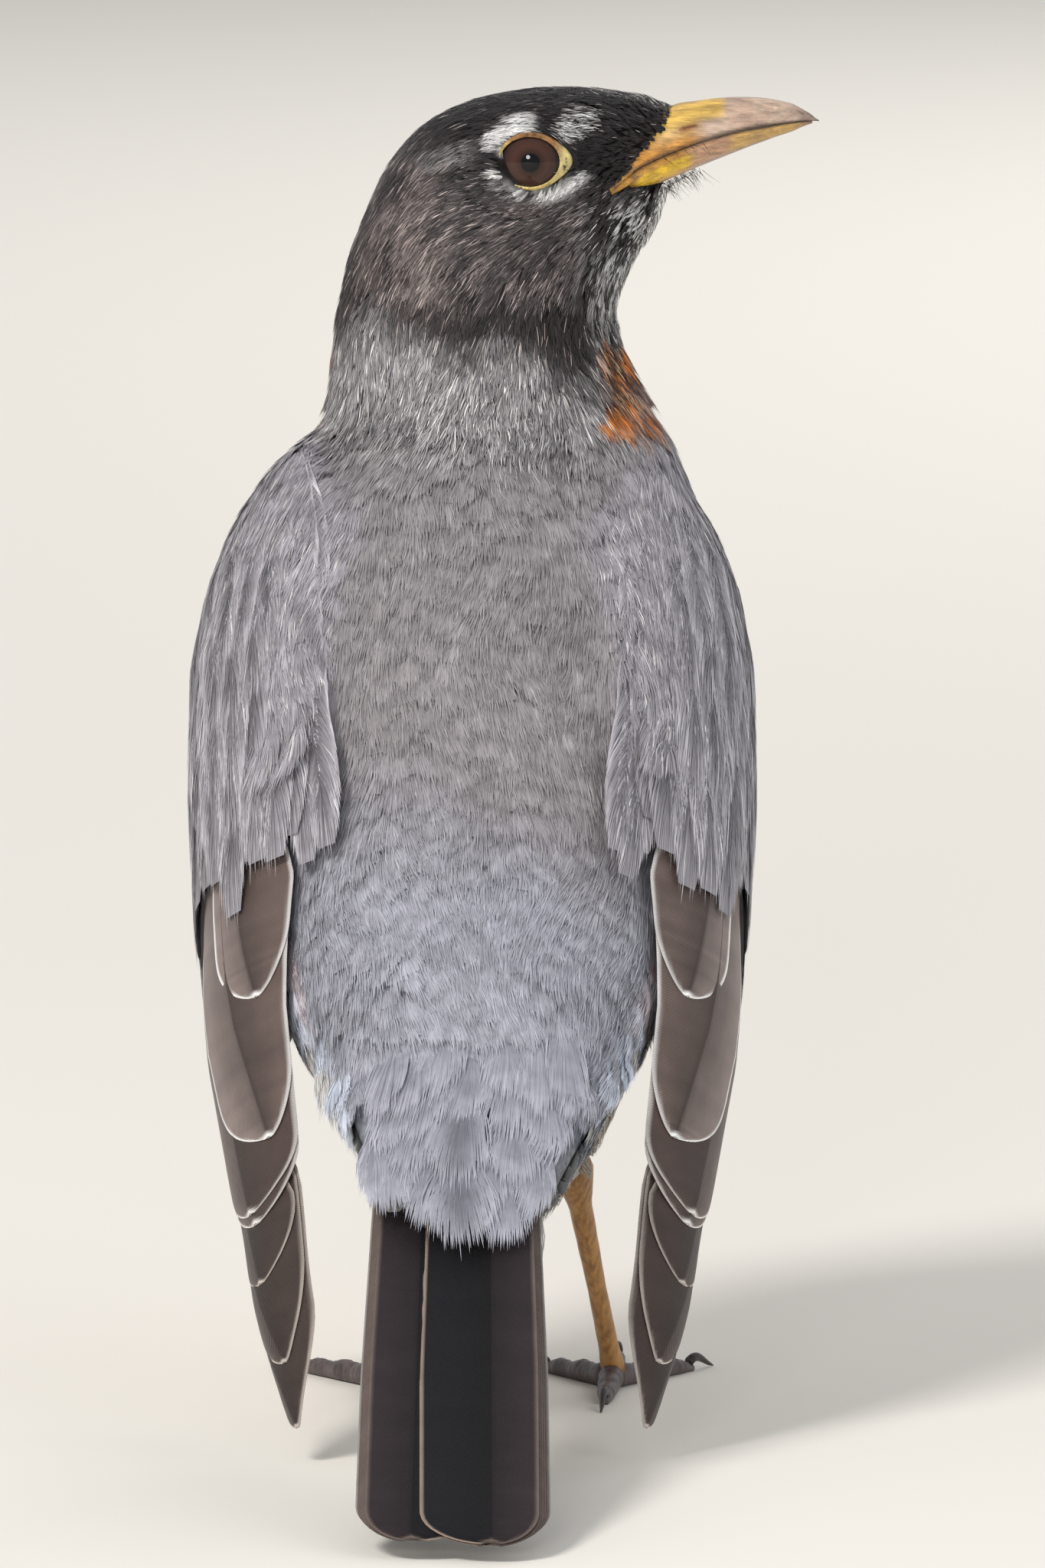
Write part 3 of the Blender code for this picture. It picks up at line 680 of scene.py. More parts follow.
def horn_material():
    """Horn with a worn gloss; mottled, and with fine lines along the bill."""
    gloss = {"Coat_Weight": 0.6, "Coat_Roughness": 0.16}
    material, tree, shader = new_material("bill_horn", 0.34, 0.5, **gloss)
    mottle = noise(tree, 1100.0, 6.0, (0.25, 1, 1))
    mottle = remap(tree, mottle, 0.66, 1.14, (0.34, 0.60))
    lines = remap(tree, noise(tree, 5200.0, 4.0, (0.07, 1, 1)), 0.80, 1.10)
    colour_from(tree, shader, "Horn", maths(tree, "MULTIPLY", mottle, lines))
    rough = remap(tree, noise(tree, 700.0, 4.0), 0.20, 0.55)
    joined(tree, rough, shader.inputs["Roughness"])
    bump(tree, shader, noise(tree, 2600.0, 6.0, (0.15, 1, 1)), 0.0005, 0.9)
    shader.inputs["Subsurface Weight"].default_value = 0.12
    shader.inputs["Subsurface Radius"].default_value = (0.0012, 0.0006, 0.0003)
    shader.inputs["Subsurface Scale"].default_value = 1.0
    return material


def scale_material(name, light, dark, roughness):
    """Leg skin: streaked along Z, with fine cracks."""
    gloss = {"Coat_Weight": 0.15, "Coat_Roughness": 0.3}
    material, tree, shader = new_material(name, roughness, 0.5, **gloss)
    mix = node(tree, "ShaderNodeMix", data_type="RGBA")
    mix.inputs["A"].default_value = (*light, 1)
    mix.inputs["B"].default_value = (*dark, 1)
    streaks = noise(tree, 1500.0, 5.0, (1, 1, 0.10))
    streaks = remap(tree, streaks, 0.0, 1.0, (0.36, 0.72))
    joined(tree, streaks, mix.inputs["Factor"])
    joined(tree, mix.outputs["Result"], shader.inputs["Base Color"])
    bump(tree, shader, noise(tree, 1700.0, 3.0, (1, 1, 0.25)), 0.00015, 0.5)
    return material


# Rings of the eye: where each starts, as a share of 4 mm from its middle, and its colour
IRIS_REACH = 4.0
PUPIL = (0.265, (0.0006, 0.0007, 0.001))
IRIS = (
    (0.30, tone(44, 26, 20)), (0.5, tone(66, 42, 33)), (0.7, tone(56, 36, 30)),
    (0.84, tone(18, 11, 10)),
)


def eye_material():
    """Brown iris round a black pupil, by the distance from the axis through both eyes."""
    gloss = {"Coat_Weight": 0.20, "Coat_Roughness": 0.02}
    material, tree, shader = new_material("eye", 0.05, 0.22, **gloss)
    place = node(tree, "ShaderNodeTexCoord").outputs["Object"]
    vector = {"kind": "ShaderNodeVectorMath"}
    off = maths(tree, "SUBTRACT", place, tuple(placed(EYE)), **vector)
    flat = maths(tree, "MULTIPLY", off, (1, 0, 1), **vector)
    size = node(tree, "ShaderNodeVectorMath", operation="LENGTH")
    joined(tree, flat, size.inputs[0])
    ringed = node(tree, "ShaderNodeValToRGB")
    reach = remap(tree, size.outputs["Value"], 0.0, 1.0, (0.0, IRIS_REACH * MM))
    joined(tree, reach, ringed.inputs["Fac"])
    rings = ringed.color_ramp
    for element, (position, colour) in zip(rings.elements, (PUPIL, IRIS[0])):
        element.position, element.color = position, (*colour, 1)
    for position, colour in IRIS[1:]:
        rings.elements.new(position).color = (*colour, 1)
    joined(tree, ringed.outputs["Color"], shader.inputs["Base Color"])
    return material


def lid_material():
    material, tree, shader = new_material("lid", 0.5, 0.4)
    specks = remap(tree, noise(tree, 1600.0, 4.0), 0.72, 1.12)
    colour_from(tree, shader, "Lid", specks)
    bump(tree, shader, noise(tree, 2500.0), 0.0001, 0.6)
    return material


def plain_material(name, colour, roughness, specular=0.5):
    material, _, shader = new_material(name, roughness, specular)
    shader.inputs["Base Color"].default_value = (*colour, 1)
    return material


# --- skin ------------------------------------------------------------------------------

FLESH = ("trunk", "neck", "head", "thigh_left", "thigh_right")
CLOSED_BY = 0.3  # mm by which each copied solid grows, so that neighbours meet
SKIN_VOXEL = 0.95  # mm
SKIN_LIFT = 0.15  # how far the skin lies above the feathers' depth
SKIN_SHADE = 0.6  # of the plumage's colour, where the skin shows between feathers
TRIM_BILL = 20.0  # mm ahead of HEAD, where the skin over the bill's root stops


def copy_of(name):
    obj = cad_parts[name].copy()
    obj.data = obj.data.copy()
    obj.parent = None
    for key in list(obj.keys()):
        del obj[key]
    obj.name = "skin_" + name
    obj.hide_render = False
    bpy.context.scene.collection.objects.link(obj)
    edit_all(obj)
    bpy.ops.mesh.remove_doubles(threshold=1e-6)
    bpy.ops.object.mode_set(mode="OBJECT")
    return obj


def trimmed(obj, at, way):
    """Keeps what lies behind a plane."""
    edit_all(obj)
    bpy.ops.mesh.bisect(
        plane_co=tuple(placed(at)), plane_no=tuple(way), use_fill=True, clear_outer=True
    )
    bpy.ops.object.mode_set(mode="OBJECT")
    return obj


# Depth of the plumage over the skin by the station on the spine, mm
DEPTH_STATIONS = (0.0, 1.5, 3.5, 7.0, 9.0, 10.5, 11.5, 14.0)
DEPTHS = (0.8, 1.5, 2.4, 2.5, 1.9, 1.3, 1.0, 0.75)
WING_DEPTH = 1.5
THIGH_TOP, THIGH_DEPTH = 46, 1.2  # height below which the plumage is this thin at most


def coat_depth(points):
    """How far the skin lies inside the outline of the plumage."""
    station = body_place(points)[0]
    ahead, above, out = face_place(points)
    depth = np.interp(station, DEPTH_STATIONS, DEPTHS)
    depth = depth * (1 - 0.35 * ramp(9, 15, ahead) * ramp(126, 131, points[:, 2]))
    beside_eye = ramp(1.5, 1.05, lid_distance(ahead, above)) * ramp(5, 8, out)
    depth = depth * (1 - 0.5 * beside_eye)
    share, _, u, under = wing_place(points)
    wing = hump(-0.12, 0.36, share, 0.02) * ramp(5.0, 3.0, under) * ramp(1.15, 1.0, u)
    depth = depth * (1 - wing) + WING_DEPTH * wing
    return np.where(points[:, 2] < THIGH_TOP, np.minimum(depth, THIGH_DEPTH), depth)


def flesh_copies():
    """Copies of the solids under the plumage, each cut where its feathers end."""
    pieces = [copy_of(name) for name in FLESH]
    trimmed(pieces[0], TAIL_BASE + TAIL_LINE * SKIN_END, TAIL_LINE)
    for name in ("bill_upper", "bill_lower"):
        pieces.append(trimmed(copy_of(name), HEAD + (-TRIM_BILL, 0, 0), (-1, 0, 0)))
    pieces += [copy_of("eye_left"), copy_of("eye_right")]
    for name, side in SIDES:
        at, _ = wing_surface(side, COVERT_SKIN_END, 0.0, 0.0)
        pieces.append(trimmed(copy_of(f"wing_{name}_coverts"), at, unit(WING_LINE)))
    return pieces


def modified(obj, kind, **values):
    """Adds a modifier and applies it."""
    modifier = obj.modifiers.new(kind.lower(), kind)
    for key, value in values.items():
        setattr(modifier, key, value)
    bpy.ops.object.modifier_apply(modifier=modifier.name)


def make_skin():
    """One closed skin over the copied solids, sunk to where the feathers grow."""
    pieces = flesh_copies()
    for piece in pieces:
        edit_all(piece)
        bpy.ops.mesh.normals_make_consistent(inside=False)
        bpy.ops.transform.shrink_fatten(value=CLOSED_BY * MM)
        bpy.ops.object.mode_set(mode="OBJECT")
    make_active(*pieces)
    bpy.ops.object.join()
    skin = bpy.context.object
    skin.name = skin.data.name = "skin"
    mesh = skin.data
    modified(skin, "REMESH", mode="VOXEL", voxel_size=SKIN_VOXEL * MM)
    modified(skin, "SMOOTH", factor=0.5, iterations=6)
    points, normals = read_points(mesh), read_normals(mesh)
    depth = coat_depth(unplaced(points)) + CLOSED_BY - SKIN_LIFT
    write_points(mesh, points - normals * (depth * MM)[:, None])
    smooth_creases(skin, unplaced(points)[:, 2])
    edit_all(skin)
    bpy.ops.mesh.quads_convert_to_tris()
    while mesh.uv_layers:
        mesh.uv_layers.remove(mesh.uv_layers[0])
    mesh.uv_layers.new(name="OFBake")
    bpy.ops.uv.smart_project(angle_limit=math.radians(60), island_margin=0.002)
    bpy.ops.object.mode_set(mode="OBJECT")
    bpy.ops.object.shade_smooth()
    look = markings(unplaced(read_points(mesh)))
    write_colours(mesh, "Plume", look["middle"] * SKIN_SHADE)
    bpy.context.view_layer.update()
    return skin


def smooth_creases(skin, height):
    """Smooths the whole skin a little, and the trunk, where the solids meet, much more;
    height is where the points were before the skin was sunk, mm."""
    trunk = ramp(52, 58, height) * ramp(126, 120, height)
    group = skin.vertex_groups.new(name="creases")
    for level in range(1, 11):
        inside = np.flatnonzero(np.round(trunk * 10) == level)
        group.add([int(i) for i in inside], level / 10, "REPLACE")
    for iterations, where in ((4, ""), (22, "creases")):
        modified(skin, "SMOOTH", factor=0.5, iterations=iterations, vertex_group=where)
    skin.vertex_groups.clear()


class Ground:
    """The skin's triangles, for finding roots, guides and places on its map."""

    def __init__(self, skin):
        mesh = skin.data
        mesh.calc_loop_triangles()
        self.points = read_points(mesh)
        self.normals = read_normals(mesh)
        count = len(mesh.loop_triangles)
        corners = np.empty(count * 3, np.int32)
        mesh.loop_triangles.foreach_get("vertices", corners)
        self.corners = corners.reshape(-1, 3)
        loops = np.empty(count * 3, np.int32)
        mesh.loop_triangles.foreach_get("loops", loops)
        uv = np.empty(len(mesh.loops) * 2, np.float32)
        mesh.uv_layers["OFBake"].data.foreach_get("uv", uv)
        self.uv = uv.reshape(-1, 2)[loops].reshape(-1, 3, 2).astype(float)
        places = [tuple(p) for p in self.points]
        self.tree = BVHTree.FromPolygons(places, self.corners.tolist())
        a, b, c = (self.points[self.corners[:, k]] for k in range(3))
        self.areas = 0.5 * np.linalg.norm(np.cross(b - a, c - a), axis=1)

    def scatter(self, count, rng):
        """Points spread evenly over the skin: millimetres, normals, places on the map."""
        face = rng.choice(len(self.areas), size=count, p=self.areas / self.areas.sum())
        r, q = rng.random((2, count))
        flip = r + q > 1
        r, q = np.where(flip, 1 - r, r), np.where(flip, 1 - q, q)
        weights = np.stack((1 - r - q, r, q), axis=1)
        return self.read(face, weights)

    def read(self, face, weights):
        corner = self.corners[face]
        point = (self.points[corner] * weights[..., None]).sum(axis=1)
        normal = unit((self.normals[corner] * weights[..., None]).sum(axis=1))
        uv = (self.uv[face] * weights[..., None]).sum(axis=1)
        return unplaced(point), normal, uv

    def nearest(self, points):
        """The closest places on the skin, with their smooth normals."""
        world = placed(points)
        found = [self.tree.find_nearest(Vector(p)) for p in world]
        place = np.array([f[0][:] for f in found])
        face = np.array([f[2] for f in found])
        a, b, c = (self.points[self.corners[face, k]] for k in range(3))
        ab, ac, ap = b - a, c - a, place - a
        d00, d01, d11 = (ab * ab).sum(1), (ab * ac).sum(1), (ac * ac).sum(1)
        d20, d21 = (ap * ab).sum(1), (ap * ac).sum(1)
        size = np.maximum(d00 * d11 - d01**2, 1e-30)
        v, w = (d11 * d20 - d01 * d21) / size, (d00 * d21 - d01 * d20) / size
        weights = np.clip(np.stack((1 - v - w, v, w), axis=1), 0, 1)
        weights /= weights.sum(axis=1, keepdims=True)
        return self.read(face, weights)


# --- feathers --------------------------------------------------------------------------

PATCH = 0.0015  # half the size of a feather's patch on the OFBake map
WIDEST = 0.55  # where along its length a feather is widest
FIRST_BARB = 0.06  # share of the length before which no barb starts


def guide_frames(guides, normals, at):
    """Points, ways ahead, sideways and outward at shares of each guide; 1 is its tip."""
    count, stations = guides.shape[:2]
    ways = unit(np.gradient(guides, axis=1))
    place = np.clip(at, 0, 1) * (stations - 1)
    i = np.minimum(place.astype(int), stations - 2)
    f = (place - i)[..., None]
    row = np.arange(count).reshape((count,) + (1,) * (at.ndim - 1))
    point = guides[row, i] * (1 - f) + guides[row, i + 1] * f
    ahead = unit(ways[row, i] * (1 - f) + ways[row, i + 1] * f)
    normal = normals[row, i] * (1 - f) + normals[row, i + 1] * f
    side = unit(np.cross(ahead, normal))
    normal = np.cross(side, ahead)
    length = np.linalg.norm(np.diff(guides, axis=1), axis=2).sum(axis=1).reshape(row.shape)
    point = point + ahead * ((at - np.clip(at, 0, 1)) * length)[..., None]
    return point, ahead, side, normal


def feather_half(at, widest=WIDEST, root=0.18):
    """Half width of a feather at a share of its length, as a share of its greatest."""
    before = root + (1 - root) * np.sin(np.clip(at / widest, 0, 1) * math.pi / 2)
    after = np.sqrt(np.clip(1 - ((at - widest) / (1 - widest)) ** 2, 0, 1))
    return np.where(at < widest, before, after)


class Coat:
    """Collects feathers as arrays and turns them into meshes."""

    def __init__(self):
        self.points, self.colours, self.uvs, self.vanes = [], [], [], []
        self.quads, self.tris = [], []
        self.count = 0

    def add(self, points, colours, uvs, quads, tris, vanes=None):
        self.points.append(points.reshape(-1, 3))
        self.colours.append(colours.reshape(-1, 3))
        self.uvs.append(uvs.reshape(-1, 2))
        vanes = np.zeros((points.reshape(-1, 3).shape[0], 2)) if vanes is None else vanes
        self.vanes.append(vanes.reshape(-1, 2))
        for kept, new in ((self.quads, quads), (self.tris, tris)):
            if new is not None and len(new):
                kept.append(new + self.count)
        self.count += self.points[-1].shape[0]

    def mesh(self, name):
        points = placed(np.concatenate(self.points))
        quads = np.concatenate(self.quads) if self.quads else np.zeros((0, 4), int)
        tris = np.concatenate(self.tris) if self.tris else np.zeros((0, 3), int)
        loops = np.concatenate((quads.ravel(), tris.ravel())).astype(np.int32)
        tri_starts = len(quads) * 4 + np.arange(len(tris)) * 3
        starts = np.concatenate((np.arange(len(quads)) * 4, tri_starts))
        mesh = bpy.data.meshes.new(name)
        mesh.vertices.add(len(points))
        mesh.vertices.foreach_set("co", points.astype(np.float32).ravel())
        mesh.loops.add(len(loops))
        mesh.loops.foreach_set("vertex_index", loops)
        mesh.polygons.add(len(starts))
        mesh.polygons.foreach_set("loop_start", starts.astype(np.int32))
        mesh.update(calc_edges=True)
        for title, values in (("OFBake", self.uvs), ("Vane", self.vanes)):
            layer = mesh.uv_layers.new(name=title)
            uv = np.concatenate(values)[loops]
            layer.data.foreach_set("uv", uv.astype(np.float32).ravel())
        write_colours(mesh, "Plume", np.clip(np.concatenate(self.colours), 0, 1))
        obj = linked(name, mesh)
        bpy.ops.object.shade_smooth()
        return obj


def grid_faces(rows, columns, count, size):
    """Quads of many equal grids; size is the number of points from one to the next."""
    r, c = np.meshgrid(np.arange(rows - 1), np.arange(columns - 1), indexing="ij")
    a = (r * columns + c).ravel()
    quad = np.stack((a, a + columns, a + columns + 1, a + 1), axis=1)
    return (quad[None] + (np.arange(count) * size)[:, None, None]).reshape(-1, 4)


def add_feathers(coat, guides, normals, width, look, uv, rng, style):
    """Feathers along guides: a small vane under slender barbs, which leave the shaft and
    bend to run along it. The style says, all per feather and most of it as shares:

    barbs, their number; thick, half width of a barb in mm; points on a barb
    rows, where the vane has its rows; ground, how bright the vane is, darkened as painted
    shade where it shows between barbs cup, how much the sides hang down; widest, where the
    feather is widest run, a barb's length; fan, how far from the shaft it starts, of where
    it ends blunt, how much earlier the outer barbs end; or along, where the first one ends
    of barbs that leave the shaft one after another
    ragged, lift, roll, spread: how much ends, heights in mm, tilts and brightness vary
    from barb to barb; uneven: brightness from feather to feather; wave: sideways bend, mm
    """
    count = len(guides)
    shade = 1 + style["uneven"] * rng.normal(size=(count, 1, 1))
    sway = style["wave"] * rng.normal(size=(count, 1, 1))
    add_vanes(coat, guides, normals, width, look, uv, style, sway, shade)

    across, start, end = barb_ends(count, rng, style)
    steps = np.linspace(0, 1, style["points"])
    along = start[..., None] + (end - start)[..., None] * steps
    bend = style["fan"] + (1 - style["fan"]) * (1 - (1 - steps) ** 1.9)
    aside = (across * width[:, None])[..., None] * bend
    curl = 0.25 * style["wave"] * rng.normal(size=start.shape)[..., None]
    aside = aside + curl * steps**2
    ribbon = barb_ribbons(guides, normals, along, aside, sway, steps, rng, style)
    out = aside / width[:, None, None]
    colour = barb_colours(look, start, along, out, steps, rng, style) * shade[..., None]
    colour = both_edges(colour)
    flat = np.stack((np.clip(out, -1, 1), np.clip(along, 0, 1) * 2 - 1), axis=-1)
    flat = both_edges(flat)
    base = (np.arange(start.size) * ribbon.shape[2])[:, None]
    last = 2 * (len(steps) - 2)
    quads = [base + np.array(((k, k + 1, k + 3, k + 2),)) for k in range(0, last, 2)]
    tris = base + np.array(((last, last + 1, last + 2),))
    coat.add(ribbon, colour, uv[:, None, None] + flat * PATCH, np.concatenate(quads), tris)


def add_vanes(coat, guides, normals, width, look, uv, style, sway, shade):
    """The vane under each feather's barbs: rows of three points, the sides hanging down."""
    count, rows = len(guides), len(style["rows"])
    at = np.broadcast_to(np.array(style["rows"]), (count, rows))
    point, _, side, normal = guide_frames(guides, normals, at)
    narrow = 0.86 if "along" in style else 0.72  # the barbs stand out past the vane
    half = feather_half(at, style.get("widest", WIDEST)) * narrow * width[:, None]
    half = half[..., None]
    middle = point + side * (sway * at[..., None] ** 2)
    low = normal * (style["lift"] * 0.5 + 0.05)
    fall = normal * (style["cup"] * half)
    edges = (middle - side * half - low - fall, middle + side * half - low - fall)
    vane = np.stack((edges[0], middle - low, edges[1]), axis=2)
    share = ramp(0.25, 0.75, at)[..., None]
    colour = look["root"][:, None] * (1 - share) + look["middle"][:, None] * share
    # the vane's own colour runs from the root's to the middle's; ground darkens it as
    # painted shade in the gaps between barbs
    colour = np.repeat((colour * style["ground"] * shade)[:, :, None], 3, axis=2)
    across = np.broadcast_to(np.array((-0.7, 0.0, 0.7)), (count, rows, 3))
    up = np.broadcast_to(at[..., None] * 2 - 1, across.shape)
    uvs = uv[:, None, None] + np.stack((across, up), axis=-1) * PATCH
    coat.add(vane, colour, uvs, grid_faces(rows, 3, count, 3 * rows), None)


def barb_ends(count, rng, style):
    """Where barbs end across the feather, and the shares of its length they run between."""
    barbs = style["barbs"]
    across = (np.arange(barbs) + 0.5) / barbs * 2 - 1
    across = np.clip(across + rng.normal(0, 0.6 / barbs, (count, barbs)), -1, 1)
    if "along" in style:
        order = (np.arange(barbs) // 2 + rng.random((count, barbs))) / (barbs // 2)
        end = style["along"] + (1 - style["along"]) * np.clip(order, 0, 1)
        half = feather_half(end, style.get("widest", WIDEST))
        across = np.where(np.arange(barbs) % 2, 1, -1) * half * 0.97
        end = end + rng.normal(0, style["ragged"], across.shape) * end
    else:
        end = 1 - style["blunt"] * across**2
        end = end + rng.normal(0, style["ragged"], across.shape)
    run = style["run"] * rng.uniform(0.75, 1.15, across.shape)
    return across, np.maximum(end - run, FIRST_BARB), end


def barb_ribbons(guides, normals, along, aside, sway, steps, rng, style):
    """Points of the barbs: two edges that taper to one point."""
    shape = along.shape[:2]
    point, _, side, normal = guide_frames(guides, normals, along)
    lift = style["lift"] * rng.uniform(0.0, 1.0, shape)[..., None] * (0.6 + 0.4 * steps)
    lift = lift - style["cup"] * np.abs(aside)
    drawn = aside + sway * np.clip(along, 0, 1.1) ** 2
    place = point + side * drawn[..., None] + normal * lift[..., None]
    path = unit(np.gradient(place, axis=2))
    flank = unit(np.cross(path, normal))
    tilt = rng.normal(0, style["roll"], shape)[..., None, None]
    flank = unit(flank + normal * tilt)
    taper = style["thick"] * np.interp(steps, (0, 0.35, 0.7, 1.0), (0.7, 1.0, 0.8, 0.0))
    taper = (taper * rng.uniform(0.7, 1.3, shape)[..., None])[:, :, :-1, None]
    off = flank[:, :, :-1] * taper
    ribbon = np.stack((place[:, :, :-1] - off, place[:, :, :-1] + off), axis=3)
    ribbon = ribbon.reshape(*shape, -1, 3)
    return np.concatenate((ribbon, place[:, :, -1:]), axis=2)


def barb_colours(look, start, along, out, steps, rng, style):
    """From the root's colour over the middle's to the tip's; some barbs are pale."""
    root, middle, tip, pale = (
        look[part][:, None, None] for part in ("root", "middle", "tip", "pale")
    )
    share = (steps**1.3)[None, None, :, None]
    ground = ramp(0.1, 0.6, start)[..., None, None]
    first = (root * 0.5 + middle * 0.5) * (1 - ground) + middle * ground
    colour = np.where(share < 0.5, first + (middle - first) * 2 * share, middle)
    colour = colour + (tip - middle) * np.clip(2 * share - 1, 0, 1)
    is_pale = (rng.random(start.shape) < look["pale_share"][:, None])[..., None, None]
    colour = np.where(is_pale, pale * (0.6 + 0.4 * share), colour)
    if "centre" in look:
        dark = look["centre"][:, None, None] * np.exp(-((out / 0.42) ** 2))
        colour = colour * (1 - (dark * (1 - 0.7 * ramp(0.75, 1.0, along)))[..., None])
    vary = np.exp(style["spread"] * rng.normal(size=start.shape))
    return colour * vary[..., None, None]


def both_edges(values):
    """Values along a barb, twice for its two edges and once for its tip."""
    edges = np.repeat(values[:, :, :-1], 2, axis=2)
    return np.concatenate((edges, values[:, :, -1:]), axis=2)


# --- contour feathers over the skin ----------------------------------------------------

BILL_ROOT = HEAD + (-10.5, 0.0, 0.4)


def lie_of_coat(points, normals):
    """The way feathers point: from the bill over the head, then down the body."""
    station, back, across, way = body_place(points)
    ahead, above, out = face_place(points)
    x, y, z = points.T
    down = np.array((0.0, 0.0, -1.0))

    # along the trunk, and outward a little on its back; straight down on the neck
    flow = -way + np.array((0.0, 0.0, -0.15))
    flow[:, 0] += 0.22 * across * ramp(0.0, 0.8, back) * hump(4, 8, station, 0.2)
    flow = blend(unit(flow), down + vectors(0.12 * across, 0, 0), ramp(7.6, 9.0, station))

    # away from the bill on the head, and drooping behind and below
    swept = unit(points - BILL_ROOT) + vectors(0.25 + 1.3 * ramp(8, 13, ahead), 0, -0.12)
    droop = ramp(-6, -24, ahead) * 0.9 + ramp(-6, -16, above) * 0.75
    swept = unit(unit(swept) + down * droop[:, None])
    head = ramp(124, 131, z)
    flow = blend(unit(flow), swept, head)

    # away from the eye close to it
    off_ring = np.maximum(lid_distance(ahead, above) - 1.0, 0)
    near = np.exp(-((off_ring / 0.35) ** 2)) * ramp(5, 8, out)
    flow = unit(flow) + unit(vectors(x - EYE[0], 0, above)) * (0.9 * near)[:, None]

    # down the thigh, and along the wing on its shoulder
    thigh = ramp(50, 42, z) * ramp(30, 22, y)
    flow = blend(unit(flow), np.array((0.0, 0.55, -0.83)), thigh)
    share, rise, u, under = wing_place(points)
    wing = hump(-0.12, 0.36, share, 0.02) * ramp(4.5, 3.0, under) * ramp(1.1, 0.95, u)
    off_back = 0.30 * ramp(0.25, -0.05, share) * ramp(2, 16, rise)
    flow = blend(unit(flow), unit(WING_LINE) - WING_BACK * off_back[:, None], wing)

    # swirled slowly, and kept in the skin
    turn = 0.22 * drift(points, 9.0) * (1 - 0.5 * head)
    flow = unit(flow) + np.cross(normals, unit(flow)) * turn[:, None]
    flow = flow - normals * (flow * normals).sum(axis=1, keepdims=True)
    return unit(flow)


def region_of(points):
    """The kind of feather that grows at each place, by name; none under the coverts."""
    station, back, _, _ = body_place(points)
    trunk = np.where(back > -0.15, "back", "breast")
    mixed = station + 0.30 * drift(points, 2.2) + 0.25 * drift(points, 0.9)
    region = np.where(mixed > 11.2, "head", np.where(mixed > 8.2, "neck", trunk))
    share, rise, u, under = wing_place(points)
    last = COVERT_SKIN_END - 0.03
    wing = (share > -0.12) & (share < last) & (under < 4.5) & (u < 1.05)
    cut_end = (share >= last) & (share < last + 0.07) & (under < 8.0) & (u < 0.97)
    open_edge = 0.74 + 0.10 * drift(points, 4.0)
    covered = wing & (share > 0.085 + 0.02 * drift(points, 5.0))
    covered = covered & ((u < open_edge) | (rise < 0))
    region = np.where(wing, "shoulder", region)
    ahead, above, out = face_place(points)
    by_eye = (lid_distance(ahead, above) < 1.75) & (out > 5.5) & (region == "head")
    region = np.where(by_eye, "lid", region)
    low = (points[:, 2] < THIGH_TOP) & (points[:, 1] < 26) & (np.abs(points[:, 0]) < 22)
    region = np.where(covered | cut_end, "", region)
    return np.where(low, "thigh", region)


AROUND = [(a, b, c) for a in (-1, 0, 1) for b in (-1, 0, 1) for c in (-1, 0, 1)]


def thinned(points, spacing, rng):
    """Indices of points that keep their distance from each other."""
    cells, kept = {}, []
    key = np.floor(points / spacing).astype(int)

    def is_clear(i):
        a, b, c = key[i]
        for da, db, dc in AROUND:
            for j in cells.get((a + da, b + db, c + dc), ()):
                off = points[j] - points[i]
                if off @ off < spacing**2:
                    return False
        return True

    for i in rng.permutation(len(points)):
        if is_clear(i):
            cells.setdefault(tuple(key[i]), []).append(i)
            kept.append(i)
    return np.array(kept)


def march(ground, roots, normals, lengths, stations):
    """Guides from the roots along the lie of the coat, with the skin's normals; past the
    skin's end over the tail they go straight on."""
    guides, outward = [roots], [normals]
    point, normal = roots, normals
    step = (lengths / (stations - 1))[:, None]
    last = COVERT_SKIN_END - 0.05
    for _ in range(stations - 1):
        way = lie_of_coat(point, normal)
        ahead = point + way * step
        found, turned, _ = ground.nearest(ahead)
        share, _, _, under = wing_place(ahead)
        on_wing = ramp(4.5, 3.5, under) * ramp(last, last + 0.03, share)
        held = (ramp(SKIN_END, SKIN_END - 3.0, tail_reach(ahead)) * (1 - on_wing))[:, None]
        point = ahead * (1 - 0.85 * held) + found * 0.85 * held
        normal = unit(normal * (1 - 0.7 * held) + turned * 0.7 * held)
        guides.append(point)
        outward.append(normal)
    return np.stack(guides, axis=1), np.stack(outward, axis=1)


SOFT = {
    "barbs": 30, "thick": 0.060, "points": 4, "rows": (0.05, 0.35, 0.6, 0.8),
    "ground": 0.95, "run": 0.46, "fan": 0.35, "blunt": 0.34, "ragged": 0.07, "lift": 0.08,
    "roll": 0.22, "cup": 0.05, "spread": 0.07, "uneven": 0.05, "wave": 0.35,
}
